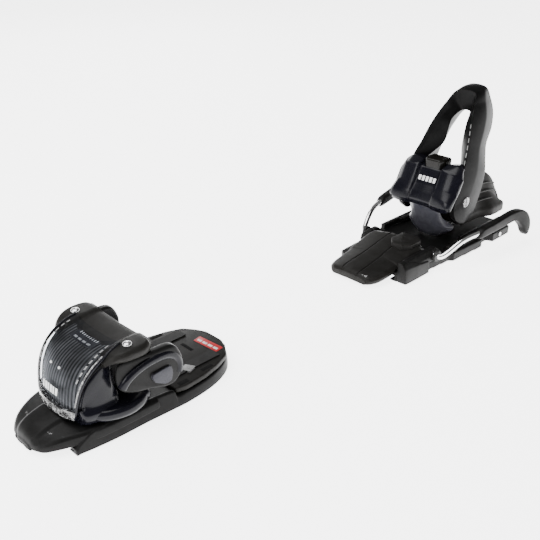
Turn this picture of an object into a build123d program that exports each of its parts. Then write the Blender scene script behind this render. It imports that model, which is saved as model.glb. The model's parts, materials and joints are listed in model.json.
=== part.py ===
from build123d import *
import os

# Alpine step-in ski binding for a rail plate: a toe unit and a heel unit with brake.
# Millimetres.  +X points to the ski tip, +Y to the skier's left, +Z up.
# The origin lies on the ski's top face, in the middle of the overall length and width.

# Overall stations along X
pivot_gap = 372.0        # toe wing pivots to heel axle, set by the boot length
nose_len = 60.0          # wing pivots to the front of the nose
tail_len = 78.0          # heel axle to the back of the heel housing
overall_len = nose_len + pivot_gap + tail_len
toe_x = overall_len / 2 - nose_len
heel_x = -overall_len / 2 + tail_len
afd_screw_x = toe_x - 62.0
afd_key_xs = (toe_x - 44.0, toe_x - 80.0)

# Clearances
run_gap = 0.05           # radial clearance of a running fit
move_gap = 0.4           # between faces that slide or swing past each other
seat_gap = 0.2           # between nested fixed pieces

# Ski rail that both units slide onto
rail_w = 56.0
rail_t = 3.0
rail_neck_w = 46.0
rail_neck_h = 2.0
rail_clear = 0.2
channel_w = rail_w + 2 * rail_clear
channel_neck_w = rail_neck_w + 2 * rail_clear
channel_h = rail_neck_h + rail_t + rail_clear

# Toe unit
toe_base_w = 76.0        # widest place of the toe carriage
toe_tail_len = 96.0      # wing pivots back to the end of the sole plate
base_lean = 12.0         # degrees that the carriage's sides lean inwards
deck_z = 13.0            # top of the carriage under the housing
sole_deck_z = 8.0        # top of the carriage under the sliding sole plate
wing_pivot_y = 27.0
wing_pin_r = 3.0
wing_head_r = 4.4
wing_len = 37.0          # pivot back to the tip of a wing
wing_z0 = 24.0           # underside of the wings between the plates
wing_z1 = 50.5           # top of the wings between the plates
wing_tail_z0 = 13.6      # underside of the wings behind the lower plate
wing_tail_z1 = 50.8      # highest place of the wings behind the upper plate
sole_top_z = 33.0        # underside of the hold-down, above the boot's toe lug
plate_t = 5.0            # lower housing plate
ear_t = 7.0              # upper housing plate with its ears
core_w = 26.0            # width of the spring box between the wings
toe_spring_r = 8.5
toe_spring_wire = 2.2
toe_spring_z = 27.0
toe_bore_r = toe_spring_r + toe_spring_wire / 2 + move_gap
hood_r = 43.7            # the hood is part of a cylinder that lies across the toe unit
hood_dx = -6.6           # its centre, from the wing pivots
hood_cz = 20.0
hood_low_z = 20.0
hood_low_w = 37.0
hood_top_w = 50.0
hood_wall = 1.8
cover_t = 1.6
afd_len = 62.0
afd_w = 54.0
afd_t = 4.5
afd_screw_r = 3.0
afd_key_half = 6.5       # half width of the keys that guide the sole plate
nose_screw_r = 2.0
afd_travel = 8.0

# Heel unit
axle_z = 47.0
axle_r = 4.0
lever_w = 64.0
axle_half = lever_w / 2 + 0.5
lever_wall = 6.0         # thickness of each lever arm
lever_top_z = 140.0
lever_void_r = 37.0      # room between the arms for the cup's crown
lever_foot_r = 21.0      # room that the arms' lower ends sweep
cup_reach = 33.0         # axle to the front of the cup
cup_w = 64.0
cup_plate_t = 3.2        # side plates of the cup beside the housing
core_half = 22.0         # half width of the heel housing at the axle
track_w = 78.0
track_t = 8.0
track_front = 98.0       # axle forward to the front of the track
track_back = 70.0        # axle back to the end of the track
skirt_w = 68.0           # lower part of the heel housing
skirt_top_z = 24.0
tower_half = 19.0
tower_top_z = 63.0
heel_spring_r = 9.5
heel_spring_wire = 3.0
heel_spring_z = 38.0
brake_dx = 52.0          # axle forward to the brake hinge
brake_z = 12.5
pedal_len = 80.0         # brake hinge forward to the front of the pedal
pedal_w = 57.0
wire_r = 2.4
brake_half = 46.5        # inner half width of the brake arms beside the ski
foot_len = 70.0


def at_toe(points):
    return [(toe_x + x, z) for x, z in points]


def at_heel(points):
    return [(heel_x + x, z) for x, z in points]


def prism_y(points, y0, y1, r=0.0):
    """Side outline in X and Z, carried from y0 to y1."""
    face = Plane.XZ * Polygon(*points, align=None)
    if r:
        face = fillet(face.vertices(), r)
    solid = extrude(face, amount=y1 - y0, dir=(0, 1, 0))
    return Pos(0, y0, 0) * solid


def prism_z(points, z0, z1, r=0.0):
    """Plan outline in X and Y, carried from z0 to z1."""
    face = Polygon(*points, align=None)
    if r:
        face = fillet(face.vertices(), r)
    return Pos(0, 0, z0) * extrude(face, amount=z1 - z0)


def prism_x(points, x0, x1, r=0.0):
    """Front outline in Y and Z, carried from x0 to x1."""
    face = Plane.YZ * Polygon(*points, align=None)
    if r:
        face = fillet(face.vertices(), r)
    return Pos(x0, 0, 0) * extrude(face, amount=x1 - x0, dir=(1, 0, 0))


def block(x0, x1, y0, y1, z0, z1):
    return Pos((x0 + x1) / 2, (y0 + y1) / 2, (z0 + z1) / 2) * Box(x1 - x0, y1 - y0, z1 - z0)


def rod_x(x0, x1, y, z, r):
    return Pos((x0 + x1) / 2, y, z) * Rot(0, 90, 0) * Cylinder(r, x1 - x0)


def rod_y(x, y0, y1, z, r):
    return Pos(x, (y0 + y1) / 2, z) * Rot(90, 0, 0) * Cylinder(r, y1 - y0)


def rod_z(x, y, z0, z1, r):
    return Pos(x, y, (z0 + z1) / 2) * Cylinder(r, z1 - z0)


def both_sides(points):
    """Closed outline from a left half that runs from front to back."""
    return list(points) + [(a, -b) for a, b in reversed(points)]


def other_side(solid):
    return mirror(solid, about=Plane.XZ)


def coil_x(x0, x1, y, z, r, wire_d, turns):
    """Compression spring along X, its closed ends left as they are wound."""
    pitch = (x1 - x0 - wire_d) / turns
    line = Helix(pitch=pitch, height=pitch * turns, radius=r)
    start = Plane(origin=line @ 0, z_dir=line % 0)
    wire = sweep(start * Circle(wire_d / 2), path=line)
    return Pos(x0 + wire_d / 2, y, z) * Rot(0, 90, 0) * wire


# Ski rail channel

def rail_channel(x0, x1):
    neck = block(x0, x1, -channel_neck_w / 2, channel_neck_w / 2, -1, channel_h)
    wide = block(x0, x1, -channel_w / 2, channel_w / 2, rail_neck_h - rail_clear, channel_h)
    return neck + wide


# Toe unit

def toe_plan():
    half = toe_base_w / 2
    return both_sides([
        (toe_x + nose_len, 11.0), (toe_x + nose_len - 2, 18.0), (toe_x + 43, 25.0),
        (toe_x + 42, half - 7), (toe_x + 7, half - 4), (toe_x - 35, half),
        (toe_x - 58, half - 3), (toe_x - 71, half - 5), (toe_x - 82, half - 9),
        (toe_x - toe_tail_len + 4, half - 20), (toe_x - toe_tail_len, 6.0)])


def toe_base():
    """Carriage: low nose, side skirts, deck for the housing and seat of the sole plate."""
    tail = -toe_tail_len
    side = at_toe([
        (tail, 1.0), (tail + 2, 0), (42, 0), (42, 4.6), (nose_len - 3, 4.6), (nose_len, 7),
        (nose_len - 3, 11), (nose_len - 12, 15), (38, 17), (31, 17), (31, deck_z), (-17, deck_z),
        (-24, sole_deck_z + afd_t), (-30, sole_deck_z + afd_t), (-30, sole_deck_z),
        (tail + 4, sole_deck_z), (tail, sole_deck_z - 2)])
    plan = extrude(Polygon(*toe_plan(), align=None), amount=24, taper=base_lean)
    body = prism_y(side, -toe_base_w, toe_base_w) & plan
    body -= rail_channel(toe_x + tail - 1, toe_x + 42)
    for y in (-12.0, 12.0):
        body += block(toe_x + nose_len - 9, toe_x + nose_len - 4, y - 3, y + 3, 2.2, 7)
        body -= rod_z(toe_x + nose_len - 12, y * 1.1, 7, 30, nose_screw_r)
    body -= rod_z(afd_screw_x, 0, 4, 30, afd_screw_r + run_gap)
    for x in afd_key_xs:
        slot = afd_key_half + afd_travel + move_gap
        body -= block(x - 3.4, x + 3.4, -slot, slot, 4, 30)
    return body


def afd_plate():
    """Sliding anti-friction plate that carries the boot's toe."""
    x1 = toe_x - 31.0
    x0 = x1 - afd_len
    z0 = sole_deck_z + seat_gap
    z1 = sole_deck_z + afd_t
    half = afd_w / 2
    plan = both_sides([(x1, half - 3), (x1 - 3, half), (x0 + 14, half - 1), (x0 + 4, half - 10)])
    plate = prism_z(plan, z0, z1)
    half_slot = afd_travel + 4.4
    plate -= block(afd_screw_x - 5, afd_screw_x + 5, -half_slot, half_slot, z0 - 1, z1 + 1)
    for x in afd_key_xs:
        plate += block(x - 3, x + 3, -afd_key_half, afd_key_half, channel_h + 0.4, z0 + 1)
    return plate


def afd_screw():
    """Height screw in the middle of the sole plate."""
    x = afd_screw_x
    stem = rod_z(x, 0, channel_h + 0.4, sole_deck_z + 2, afd_screw_r)
    head = rod_z(x, 0, sole_deck_z + 0.2, sole_deck_z + 3, 4.0)
    slot = block(x - 5, x + 5, -0.5, 0.5, sole_deck_z + 2, sole_deck_z + 4)
    return stem + head - slot


def afd_insert():
    """Low friction pad set into the top of the sliding plate."""
    z1 = sole_deck_z + afd_t
    pads = []
    for y in (-18.5, 18.5):
        pads.append(block(toe_x - 78, toe_x - 40, y - 4.5, y + 4.5, z1, z1 + 1.0))
    return Compound(children=pads)


def hood_side(r0, r1, z0):
    """Ring about the hood's centre line, kept in front of the pivots and above z0."""
    x = toe_x + hood_dx
    ring = rod_y(x, -60, 60, hood_cz, r1) - rod_y(x, -61, 61, hood_cz, r0)
    return ring & block(toe_x - 4, toe_x + 60, -60, 60, z0, 120)


def hood_front(low_w, top_w, z0, z1):
    """Tapered front outline of the hood and its insert."""
    points = [(-low_w / 2, z0), (low_w / 2, z0), (top_w / 2, z1 - 6), (top_w / 2 - 3, z1),
              (-top_w / 2 + 3, z1), (-top_w / 2, z1 - 6)]
    return prism_x(points, toe_x - 20, toe_x + 60)


def toe_housing():
    """Spring box with the two plates that hold the wing pivots."""
    lower = prism_z(both_sides([
        (toe_x + 30, 20), (toe_x + 25, 29), (toe_x + 15, 35), (toe_x + 2, 37),
        (toe_x - 9, 33), (toe_x - 16, 20)]), wing_z0 - move_gap - plate_t, wing_z0 - move_gap)
    z1 = wing_z1 + move_gap + ear_t
    upper = prism_z(both_sides([
        (toe_x + 12, 20), (toe_x + 8, 29), (toe_x + 1, 34), (toe_x - 11, 35.5),
        (toe_x - 15, 31), (toe_x - 10, 20)]), z1 - ear_t, z1)
    core = prism_y(at_toe([
        (-16, deck_z), (30.6, deck_z), (30.6, 19), (40, 19), (40, 90), (-6, 90), (-6, z1 + 1), (-10, z1),
        (-16, wing_z0 + 14)]), -core_w / 2, core_w / 2)
    crown = prism_y(at_toe([(-6, z1 - ear_t), (40, z1 - ear_t), (40, 90), (-6, 90)]), -20, 20)
    body = lower + upper + core + crown
    skin = hood_r - hood_wall - seat_gap - cover_t - seat_gap
    body &= rod_y(toe_x + hood_dx, -60, 60, hood_cz, skin)
    body -= rod_x(toe_x - 12, toe_x + 60, 0, toe_spring_z, toe_bore_r)
    body -= block(toe_x - 2.5, toe_x + 16.5, -3, 3, toe_spring_z, 80)
    for y in (-wing_pivot_y, wing_pivot_y):
        body -= rod_z(toe_x, y, 0, 80, wing_pin_r)
    return body


def toe_cover():
    """Patterned front insert on the curved face of the housing."""
    r1 = hood_r - hood_wall - seat_gap
    top = hood_cz + hood_r
    plate = hood_side(r1 - cover_t, r1, hood_low_z + 10) & hood_front(
        hood_low_w - 6, hood_top_w - 6, hood_low_z, top)
    window = block(toe_x + 2, toe_x + 18, -11, 11, wing_z1, 90)
    return plate - window


def toe_hood():
    """Clear hood over the insert, with a thick lower rim."""
    top = hood_cz + hood_r + 1
    shell = hood_side(hood_r - hood_wall, hood_r, hood_low_z)
    rim = hood_side(hood_r - hood_wall - cover_t - seat_gap, hood_r, hood_low_z)
    rim &= block(toe_x, toe_x + 80, -60, 60, 0, hood_low_z + 9)
    body = (shell + rim) & hood_front(hood_low_w, hood_top_w, hood_low_z, top)
    return body - rod_x(toe_x + 20, toe_x + 60, 0, toe_spring_z, 5.5)


def toe_scale():
    """Release value scale behind the window of the insert."""
    r1 = hood_r - hood_wall - seat_gap - cover_t + 0.9
    plate = hood_side(r1 - 0.8, r1, wing_z1) & block(toe_x + 2.4, toe_x + 17.6, -10.6, 10.6, 0, 90)
    return plate - block(toe_x, toe_x + 20, -3.3, 3.3, 0, 90)


def toe_screw():
    """Release value screw, turned from the front."""
    x1 = toe_x + 27
    body = rod_x(toe_x - 6, x1 - 4, 0, toe_spring_z, 3.0) + rod_x(x1 - 4, x1, 0, toe_spring_z, 4.5)
    cross = block(x1 - 2, x1 + 1, -0.6, 0.6, toe_spring_z - 3, toe_spring_z + 3)
    cross += block(x1 - 2, x1 + 1, -3, 3, toe_spring_z - 0.6, toe_spring_z + 0.6)
    return body - cross


def toe_nut():
    """Spring nut on the screw, with the flag that shows in the window."""
    body = rod_x(toe_x + 8, toe_x + 13, 0, toe_spring_z, toe_bore_r - move_gap)
    body += block(toe_x + 6.5, toe_x + 11.5, -2.5, 2.5, toe_spring_z, wing_z1 + 3)
    return body - rod_x(toe_x, toe_x + 20, 0, toe_spring_z, 3.0 + run_gap)


def toe_spring():
    r = toe_spring_r - toe_spring_wire / 2
    return coil_x(toe_x - 7, toe_x + 3.5, 0, toe_spring_z, r, toe_spring_wire, 3)


def toe_plunger():
    """Spring cup that bears on the wings' inner cams."""
    cup = rod_x(toe_x - 11.8, toe_x - 7.4, 0, toe_spring_z, toe_bore_r - move_gap)
    return cup - rod_x(toe_x - 9, toe_x, 0, toe_spring_z, 3.4)


def wing_plan():
    """Plan outline of the left wing, from its front lobe round to its tip and back."""
    tip = toe_x - wing_len
    return [
        (toe_x + 15, 21), (toe_x + 16, 26), (toe_x + 9, 32.5), (toe_x - 6, 36.5),
        (toe_x - 22, 40.0), (tip + 3, 40.5), (tip, 37), (tip + 1, 32.5),
        (toe_x - 28, 27.0), (toe_x - 19, 20.0), (toe_x - 17.6, 15.0),
        (toe_x - 9, 15.0), (toe_x + 2, 19)]


def wing_left():
    """Left jaw: hub on the pivot, arm back along the boot, sole hold-down and arch."""
    tail = -wing_len - 1
    side = at_toe([
        (18, wing_z0), (18, 42), (10, wing_z1), (-16, wing_z1), (-20, wing_tail_z1),
        (-29, wing_tail_z1), (-33, 43), (-36, 35), (tail, 30), (-34, 24), (-30, wing_tail_z0),
        (-20, wing_tail_z0), (-17, wing_z0)])
    body = prism_z(wing_plan(), 0, 60) & prism_y(side, 0, 60)
    tip = toe_x - wing_len
    body -= prism_z([
        (toe_x - 60, 0), (toe_x - 60, 34.8), (tip + 2, 34.8), (toe_x - 27, 30.5),
        (toe_x - 18.5, 22.0), (toe_x - 16.8, 8), (toe_x - 16.8, 0)], 0, sole_top_z)
    window = at_toe([(-11, 35), (-12, 30), (-20, 25), (-24, 25.5), (-26, 34), (-23, 37.5)])
    body -= prism_y(window, 20, 60)
    body -= rod_z(toe_x, wing_pivot_y, 0, 80, wing_pin_r + run_gap)
    return body - wing_pad_left()


def wing_pad_left():
    """Low friction pad in the hold-down, bearing on the boot's toe lug."""
    tip = toe_x - wing_len
    plan = [(toe_x - 20, 21.5), (toe_x - 21, 25.5), (toe_x - 28, 31.5), (tip + 3, 35.6),
            (tip + 3, 33.0), (toe_x - 28, 28.5)]
    return prism_z(plan, sole_top_z - 1.0, sole_top_z + 1.4)


def wing_pins():
    """Pivot pins with domed heads on the ears."""
    pins = []
    top = wing_z1 + move_gap + ear_t
    for y in (-wing_pivot_y, wing_pivot_y):
        pin = rod_z(toe_x, y, wing_z0 - move_gap - plate_t, top, wing_pin_r)
        head = Pos(toe_x, y, top - 0.2) * Sphere(wing_head_r + 1.5)
        head &= rod_z(toe_x, y, top, top + 1.8, wing_head_r)
        pins.append(pin + head)
    return Compound(children=pins)


def toe_side_screws():
    """Small screws in the ears, beside the hood."""
    screws = []
    z = wing_z1 + move_gap + ear_t
    for y in (-31.5, 31.5):
        screws.append(rod_z(toe_x - 9.5, y, z, z + 0.8, 1.8))
    return Compound(children=screws)


def nose_screws():
    """Locking screws of the carriage, in the nose."""
    screws = []
    x = toe_x + nose_len - 12
    for y in (-13.2, 13.2):
        stem = rod_z(x, y, 7, 12.0, nose_screw_r)
        screws.append(stem - block(x - 3, x + 3, y - 0.4, y + 0.4, 11, 13))
    return Compound(children=screws)


# Heel unit

def heel_track():
    """Track that clips onto the rail and guides the heel housing."""
    x0 = heel_x - track_back
    x1 = heel_x + track_front
    half = track_w / 2
    plan = both_sides([
        (x1, half - 10), (x1 - 4, half - 4), (heel_x + 44, half - 1), (heel_x + 30, half),
        (heel_x + 27, half + 3), (heel_x - 18, half + 5), (heel_x - 21, half),
        (heel_x - 34, half),
        (heel_x - 36, half + 6), (x0 + 4, half + 6), (x0, half - 2)])
    body = prism_z(plan, 0, track_t)
    wall = half - skirt_w / 2 - move_gap
    for s in (-1, 1):
        inner = s * (skirt_w / 2 + move_gap)
        outer = s * (skirt_w / 2 + move_gap + wall)
        lip = s * (skirt_w / 2 - 2.4)
        y0, y1 = sorted((inner, outer))
        body += block(x0 + 3, heel_x + 30, y0, y1, track_t - 1, track_t + 6)
        y0, y1 = sorted((lip, outer))
        body += block(x0 + 3, heel_x + 6, y0, y1, track_t + 3, track_t + 6)
    body -= rail_channel(x0 - 1, x1 + 1)
    for k in range(12):
        x = heel_x - 16 - 4 * k
        body -= block(x - 1, x + 1, -5, 5, 4, track_t + 1)
    return body


def brake_carrier():
    """Cheeks on the track that hold the brake's cross shaft; the left one runs on forward."""
    half = pedal_w / 2 + move_gap
    out = track_w / 2 - 1
    x0 = heel_x + brake_dx - 9
    cheeks = []
    for x1, s in ((heel_x + track_front - 2, 1), (heel_x + brake_dx + 12, -1)):
        side = [(x1, track_t), (x1 - 2, 15.5), (x1 - 8, 18), (x0 + 4, 18), (x0, 15), (x0, track_t)]
        cheek = prism_y(side, half, out)
        cheek &= prism_x([(half, 0), (out, 0), (out, 13), (out - 4, 18), (half, 18)],
                         x0 - 1, x1 + 1)
        cheek -= rod_y(heel_x + brake_dx, 0, 60, brake_z, wire_r + run_gap)
        cheeks.append(cheek if s > 0 else other_side(cheek))
    return Compound(children=cheeks)


def brake_caps():
    """Plastic collars on the brake shaft, outside the cheeks."""
    caps = []
    for s in (-1, 1):
        y0, y1 = sorted((s * (track_w / 2 - 0.7), s * (track_w / 2 + 1.6)))
        cap = rod_y(heel_x + brake_dx, y0, y1, brake_z, 5.0)
        caps.append(cap - rod_y(heel_x + brake_dx, y0 - 1, y1 + 1, brake_z, wire_r))
    return Compound(children=caps)


def brake_pedal():
    """Pedal under the boot's heel, hinged at its back edge."""
    hinge = heel_x + brake_dx
    front = hinge + pedal_len
    step = heel_x + track_front + 2
    side = [(front, 5), (front, 9), (front - 5, 13), (hinge + 34, 20), (hinge + 8, 24),
            (hinge + 5, 22), (hinge + 5, track_t + 0.8), (step, track_t + 0.8),
            (step + 4, 4), (front - 2, 4)]
    plan = both_sides([(front, 18), (front - 3, 23), (hinge + 38, pedal_w / 2 - 1),
                       (hinge + 36, pedal_w / 2), (hinge + 5, pedal_w / 2)])
    body = prism_y(side, -pedal_w, pedal_w) & prism_z(plan, 0, 40)
    body -= block(hinge + 4, hinge + 20, -13, 13, 19, 40)
    lug = rod_y(hinge, -13, 13, brake_z, 4.2)
    lug += block(hinge, hinge + 8, -13, 13, track_t + 0.8, 15)
    body += lug
    return body - rod_y(hinge, -60, 60, brake_z, wire_r)


def brake_wire():
    """One bent wire on each side: cross shaft, outward bend, arm to the foot."""
    bx = heel_x + brake_dx
    points = [(bx, 0.5, brake_z), (bx, brake_half - 1, brake_z), (bx - 17, brake_half + 3, brake_z + 5.5),
              (bx - 38, brake_half + 8.5, brake_z + 13), (bx - 62, brake_half + 11.5, brake_z + 15)]
    path = FilletPolyline(*points, radius=[4.5, 16.0, 24.0])
    start = Plane(origin=path @ 0, z_dir=path % 0)
    left = sweep(start * Circle(wire_r), path=path)
    return Compound(children=[left, other_side(left)])


def brake_foot_left():
    """Plastic foot on the arm's end, with its hooked tip."""
    bx = heel_x + brake_dx
    x1 = bx - 40
    x0 = x1 - foot_len
    side = [(x1, 22.5), (x1 + 1, 27), (x1 - 3, 31), (x1 - 44, 37), (x1 - 54, 36), (x1 - 66, 29),
            (x0, 17), (x0 + 1, 12), (x0 + 6, 10), (x0 + 11, 16), (x0 + 18, 24), (x0 + 26, 27),
            (x1 - 30, 25)]
    y = brake_half + 5.5
    plan = [(x1 + 1, y), (x1 + 1, y + 7.5), (x1 - 50, y + 14.5), (x0, y + 19),
            (x0, y + 12.5), (x1 - 50, y + 6)]
    body = prism_y(side, 0, 200) & prism_z(plan, 0, 80)
    return body - brake_wire()


def brake_spring():
    """Torsion spring round the brake's cross shaft, beside the pedal's lug."""
    springs = []
    for s in (-1, 1):
        line = Helix(pitch=1.9, height=5.7, radius=wire_r + 1.1)
        start = Plane(origin=line @ 0, z_dir=line % 0)
        coil = sweep(start * Circle(0.7), path=line)
        y = 15.0 if s > 0 else -15.0 - 5.7
        springs.append(Pos(heel_x + brake_dx, y, brake_z) * Rot(-90, 0, 0) * coil)
    return Compound(children=springs)


def heel_housing():
    """Housing on the track: skirt, spring tower and the barrel for the axle."""
    z0 = track_t + move_gap
    skirt = prism_z(both_sides([
        (heel_x - 4, skirt_w / 2 - 8), (heel_x - 8, skirt_w / 2), (heel_x - 64, skirt_w / 2),
        (heel_x - tail_len, 24)]), z0, skirt_top_z)
    half = skirt_w / 2
    for s in (-1, 1):
        y0, y1 = sorted((s * (half - 2.4 - move_gap), s * (half + 1)))
        skirt -= block(heel_x - 80, heel_x, y0, y1, track_t + 3 - move_gap, track_t + 6 + move_gap)
    tower = prism_y(at_heel([
        (-10, z0), (-tail_len, z0), (-tail_len + 1, 20), (-tail_len + 3, 34), (-tail_len + 6, 48),
        (-tail_len + 17, 58), (-48, tower_top_z), (-45, tower_top_z - 2), (-34, 55),
        (-18, 52), (-10, 30)]), -tower_half, tower_half)
    wide = prism_y(at_heel([
        (-10, z0), (-tail_len + 6, z0), (-tail_len + 10, 30), (-60, 34), (-30, 42),
        (-18, 46), (-10, 30)]), -core_half, core_half)
    barrel = rod_y(heel_x, -core_half, core_half, axle_z, 17.0)
    neck = prism_y(at_heel([(-22, 26), (-22, 54), (-6, 62), (-2, 60), (-4, 31)]),
                   -core_half, core_half)
    body = skirt + tower + wide + barrel + neck
    body -= rod_y(heel_x, -60, 60, axle_z, axle_r + run_gap)
    bore = heel_spring_r + move_gap
    body -= rod_x(heel_x - tail_len + 16, heel_x - 12, 0, heel_spring_z, bore)
    body -= rod_x(heel_x - tail_len - 5, heel_x - 12, 0, heel_spring_z, 5.4)
    body -= block(heel_x - 60, heel_x - 47, -3, 3, heel_spring_z, 80)
    body -= block(heel_x - 62, heel_x - 46, -7, 7, tower_top_z - 8.5, 80)
    body -= block(heel_x - 66, heel_x - 12, -9.5, 9.5, 0, 21)
    body -= rod_x(heel_x - tail_len - 5, heel_x - 20, 0, 14.5, 5.6)
    return body


def heel_window():
    """Clear window over the heel's release scale."""
    z = tower_top_z - 5.4
    return block(heel_x - 61.6, heel_x - 46.4, -6.6, 6.6, z - 1.4, z)


def heel_scale():
    """Scale strips on both sides of the pointer's slot."""
    z = tower_top_z - 8.5
    strips = []
    for s in (-1, 1):
        y0, y1 = sorted((s * 3.4, s * 6.4))
        strips.append(block(heel_x - 61, heel_x - 47, y0, y1, z, z + 0.6))
    return Compound(children=strips)


def heel_screw():
    """Release value screw, turned from the back."""
    x0 = heel_x - tail_len + 4
    body = rod_x(x0, x0 + 5, 0, heel_spring_z, 5.0) + rod_x(x0 + 5, heel_x - 30, 0, heel_spring_z, 3.2)
    cross = block(x0 - 1, x0 + 2, -0.7, 0.7, heel_spring_z - 3.4, heel_spring_z + 3.4)
    cross += block(x0 - 1, x0 + 2, -3.4, 3.4, heel_spring_z - 0.7, heel_spring_z + 0.7)
    return body - cross


def heel_nut():
    """Spring nut with the pointer that shows in the window."""
    x = heel_x - 56
    body = rod_x(x, x + 5, 0, heel_spring_z, heel_spring_r)
    body += block(x + 0.5, x + 4.5, -2.4, 2.4, heel_spring_z, tower_top_z - 7.6)
    return body - rod_x(x - 1, x + 6, 0, heel_spring_z, 3.2 + run_gap)


def heel_spring():
    r = heel_spring_r - heel_spring_wire / 2 - 0.2
    return coil_x(heel_x - 45.5, heel_x - 19.5, 0, heel_spring_z, r, heel_spring_wire, 5)


def heel_plunger():
    """Piston that the spring presses onto the cup's cam."""
    body = rod_x(heel_x - 19, heel_x - 13.5, 0, heel_spring_z, heel_spring_r)
    return body


def axle():
    """Cross axle for the lever and the cup."""
    return rod_y(heel_x, -axle_half + 3, axle_half - 3, axle_z, axle_r)


def axle_screws():
    """Slotted screw heads in the lever's outer faces."""
    heads = []
    for s in (-1, 1):
        y0, y1 = sorted((s * (axle_half - 3), s * axle_half))
        head = rod_y(heel_x, y0, y1, axle_z, 4.8)
        y0, y1 = sorted((s * (axle_half - 1.2), s * (axle_half + 1)))
        heads.append(head - block(heel_x - 0.6, heel_x + 0.6, y0, y1, axle_z - 6, axle_z + 6))
    return Compound(children=heads)


def lever_side():
    """Side outline of the lever about the axle, leaning back to its top."""
    top = lever_top_z
    return at_heel([
        (16, 39), (12, 31), (0, 27), (-14, 29), (-22, 38), (-31, 60), (-35, 78), (-39, 91),
        (-51, 102), (-59, top - 26), (-57, top - 13), (-52, top - 1), (-49, top), (-42, top),
        (-33, top - 5), (-22, top - 15), (-13, top - 29), (-7, 96), (3, 80), (11, 62), (17, 48)])


def lever_front():
    half = lever_w / 2
    top = lever_top_z
    left = [(half, 20), (half, 56), (half - 3, 78), (half - 8, 92), (half - 10, 104),
            (half - 14, top - 24), (half - 18, top - 12), (half - 21, top)]
    return left + [(-y, z) for y, z in reversed(left)]


def lever_dish():
    """Hollow of the lever's front, which dips from the outer edges to the loop."""
    low = Vector(heel_x + 5, 0, 76)
    high = Vector(heel_x - 22, 0, lever_top_z - 12)
    plane = Plane(origin=low, x_dir=(0, 1, 0), z_dir=high - low)
    face = Polygon((-22, -3), (22, -3), (9, 10), (-9, 10), align=None)
    return plane * extrude(face, amount=(high - low).length - 12)


def heel_lever():
    """Opening lever: two arms from the axle that meet round an open loop."""
    half = lever_w / 2
    body = prism_y(lever_side(), -half, half)
    body &= prism_x(lever_front(), heel_x - 100, heel_x + 60)
    body -= rod_y(heel_x, -half + lever_wall, half - lever_wall, axle_z, lever_void_r)
    gap = half - lever_wall
    body -= prism_x([(gap, 0), (gap, 66), (15, 84), (10, 88), (8, 118), (-8, 118), (-10, 88),
                     (-15, 84), (-gap, 66), (-gap, 0)], heel_x - 100, heel_x + 60)
    rear = tower_half + 1.2
    body -= prism_y(at_heel([(-16, 70), (-20, 84), (-25, 98), (-34, 104), (-62, 108), (-62, 70)]),
                    -rear, rear)
    body -= lever_dish()
    body -= rod_y(heel_x, -60, 60, axle_z, axle_r + run_gap)
    for s in (-1, 1):
        y0, y1 = sorted((s * (axle_half - 3.1), s * 50))
        body -= rod_y(heel_x, y0, y1, axle_z, 5.1)
    return body


def heel_cup():
    """Heel cup: side plates on the axle, hooded front, cheeks and lower lip."""
    outer = cup_w / 2
    inner = core_half + move_gap
    side = at_heel([
        (cup_reach - 4, 41), (cup_reach, 45), (cup_reach - 2, 52), (21, 62), (13, 78),
        (4, 83), (-5, 81.5), (-4, 75), (6, 60), (12, 40)])
    front = [(24, 40), (24, 44), (outer, 49), (outer, 55), (outer - 3, 72), (outer - 8, 86),
             (-outer + 8, 86), (-outer + 3, 72), (-outer, 55), (-outer, 49), (-24, 44), (-24, 40)]
    body = prism_y(side, -outer, outer) & prism_x(front, heel_x - 40, heel_x + 60)
    body -= rod_y(heel_x, -inner, inner, axle_z, 21.5)
    for s in (-1, 1):
        y0, y1 = sorted((s * inner, s * (inner + cup_plate_t)))
        plate = rod_y(heel_x, y0, y1, axle_z, 11.0)
        plate += prism_y(at_heel([(-6, 40), (-6, 56), (4, 76), (20, 62), (24, 46), (14, 33), (4, 33)]),
                         y0, y1)
        body += plate
        y0, y1 = sorted((s * (inner + cup_plate_t), s * 60))
        body -= rod_y(heel_x, y0, y1, axle_z, lever_foot_r)
        swing = at_heel([(-40, 40), (-40, 120), (-10, 120), (-7, 96), (3, 80), (11, 62), (17, 48),
                         (16, 39)])
        body -= prism_y([(x + 1.0, z) for x, z in swing], y0, y1)
    body -= rod_y(heel_x, -60, 60, axle_z, axle_r + run_gap)
    return body


def treadle():
    """Step-in spur under the cup, pressed down by the boot's heel."""
    side = at_heel([(12, 9.5), (16, 13), (21, 30), (26, 41), (12, 41), (9, 30), (0, 20), (2, 12)])
    half = 25.0
    plan = both_sides([(heel_x + 28, 14), (heel_x + 14, 19), (heel_x + 2, half),
                       (heel_x - 2, half)])
    body = prism_y(side, -half, half) & prism_z(plan, 0, 60)
    body -= rod_y(heel_x, -60, 60, axle_z, 19.0)
    front = heel_cup()
    return body - front


def cup_badge():
    """Plain inlay on the front of the cup."""
    face = at_heel([(22.6, 60.6), (14.9, 76.0), (15.7, 76.4), (23.4, 61.0)])
    return prism_y(face, -11.5, 11.5)


def cup_cap():
    """Cap block on the cup's crown, between the lever arms."""
    side = at_heel([(-6, 77), (-6, 80), (-2, 83), (-12, 80), (-13, 75), (-8, 72)])
    body = prism_y(side, -9.0, 9.0)
    return body - heel_cup()


def adjust_block():
    """Thrust block that the length screw turns in."""
    body = block(heel_x - 32, heel_x - 24, -8.5, 8.5, track_t + move_gap, 20)
    return body - rod_x(heel_x - 40, heel_x - 20, 0, 14.5, 3.5 + run_gap)


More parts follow.
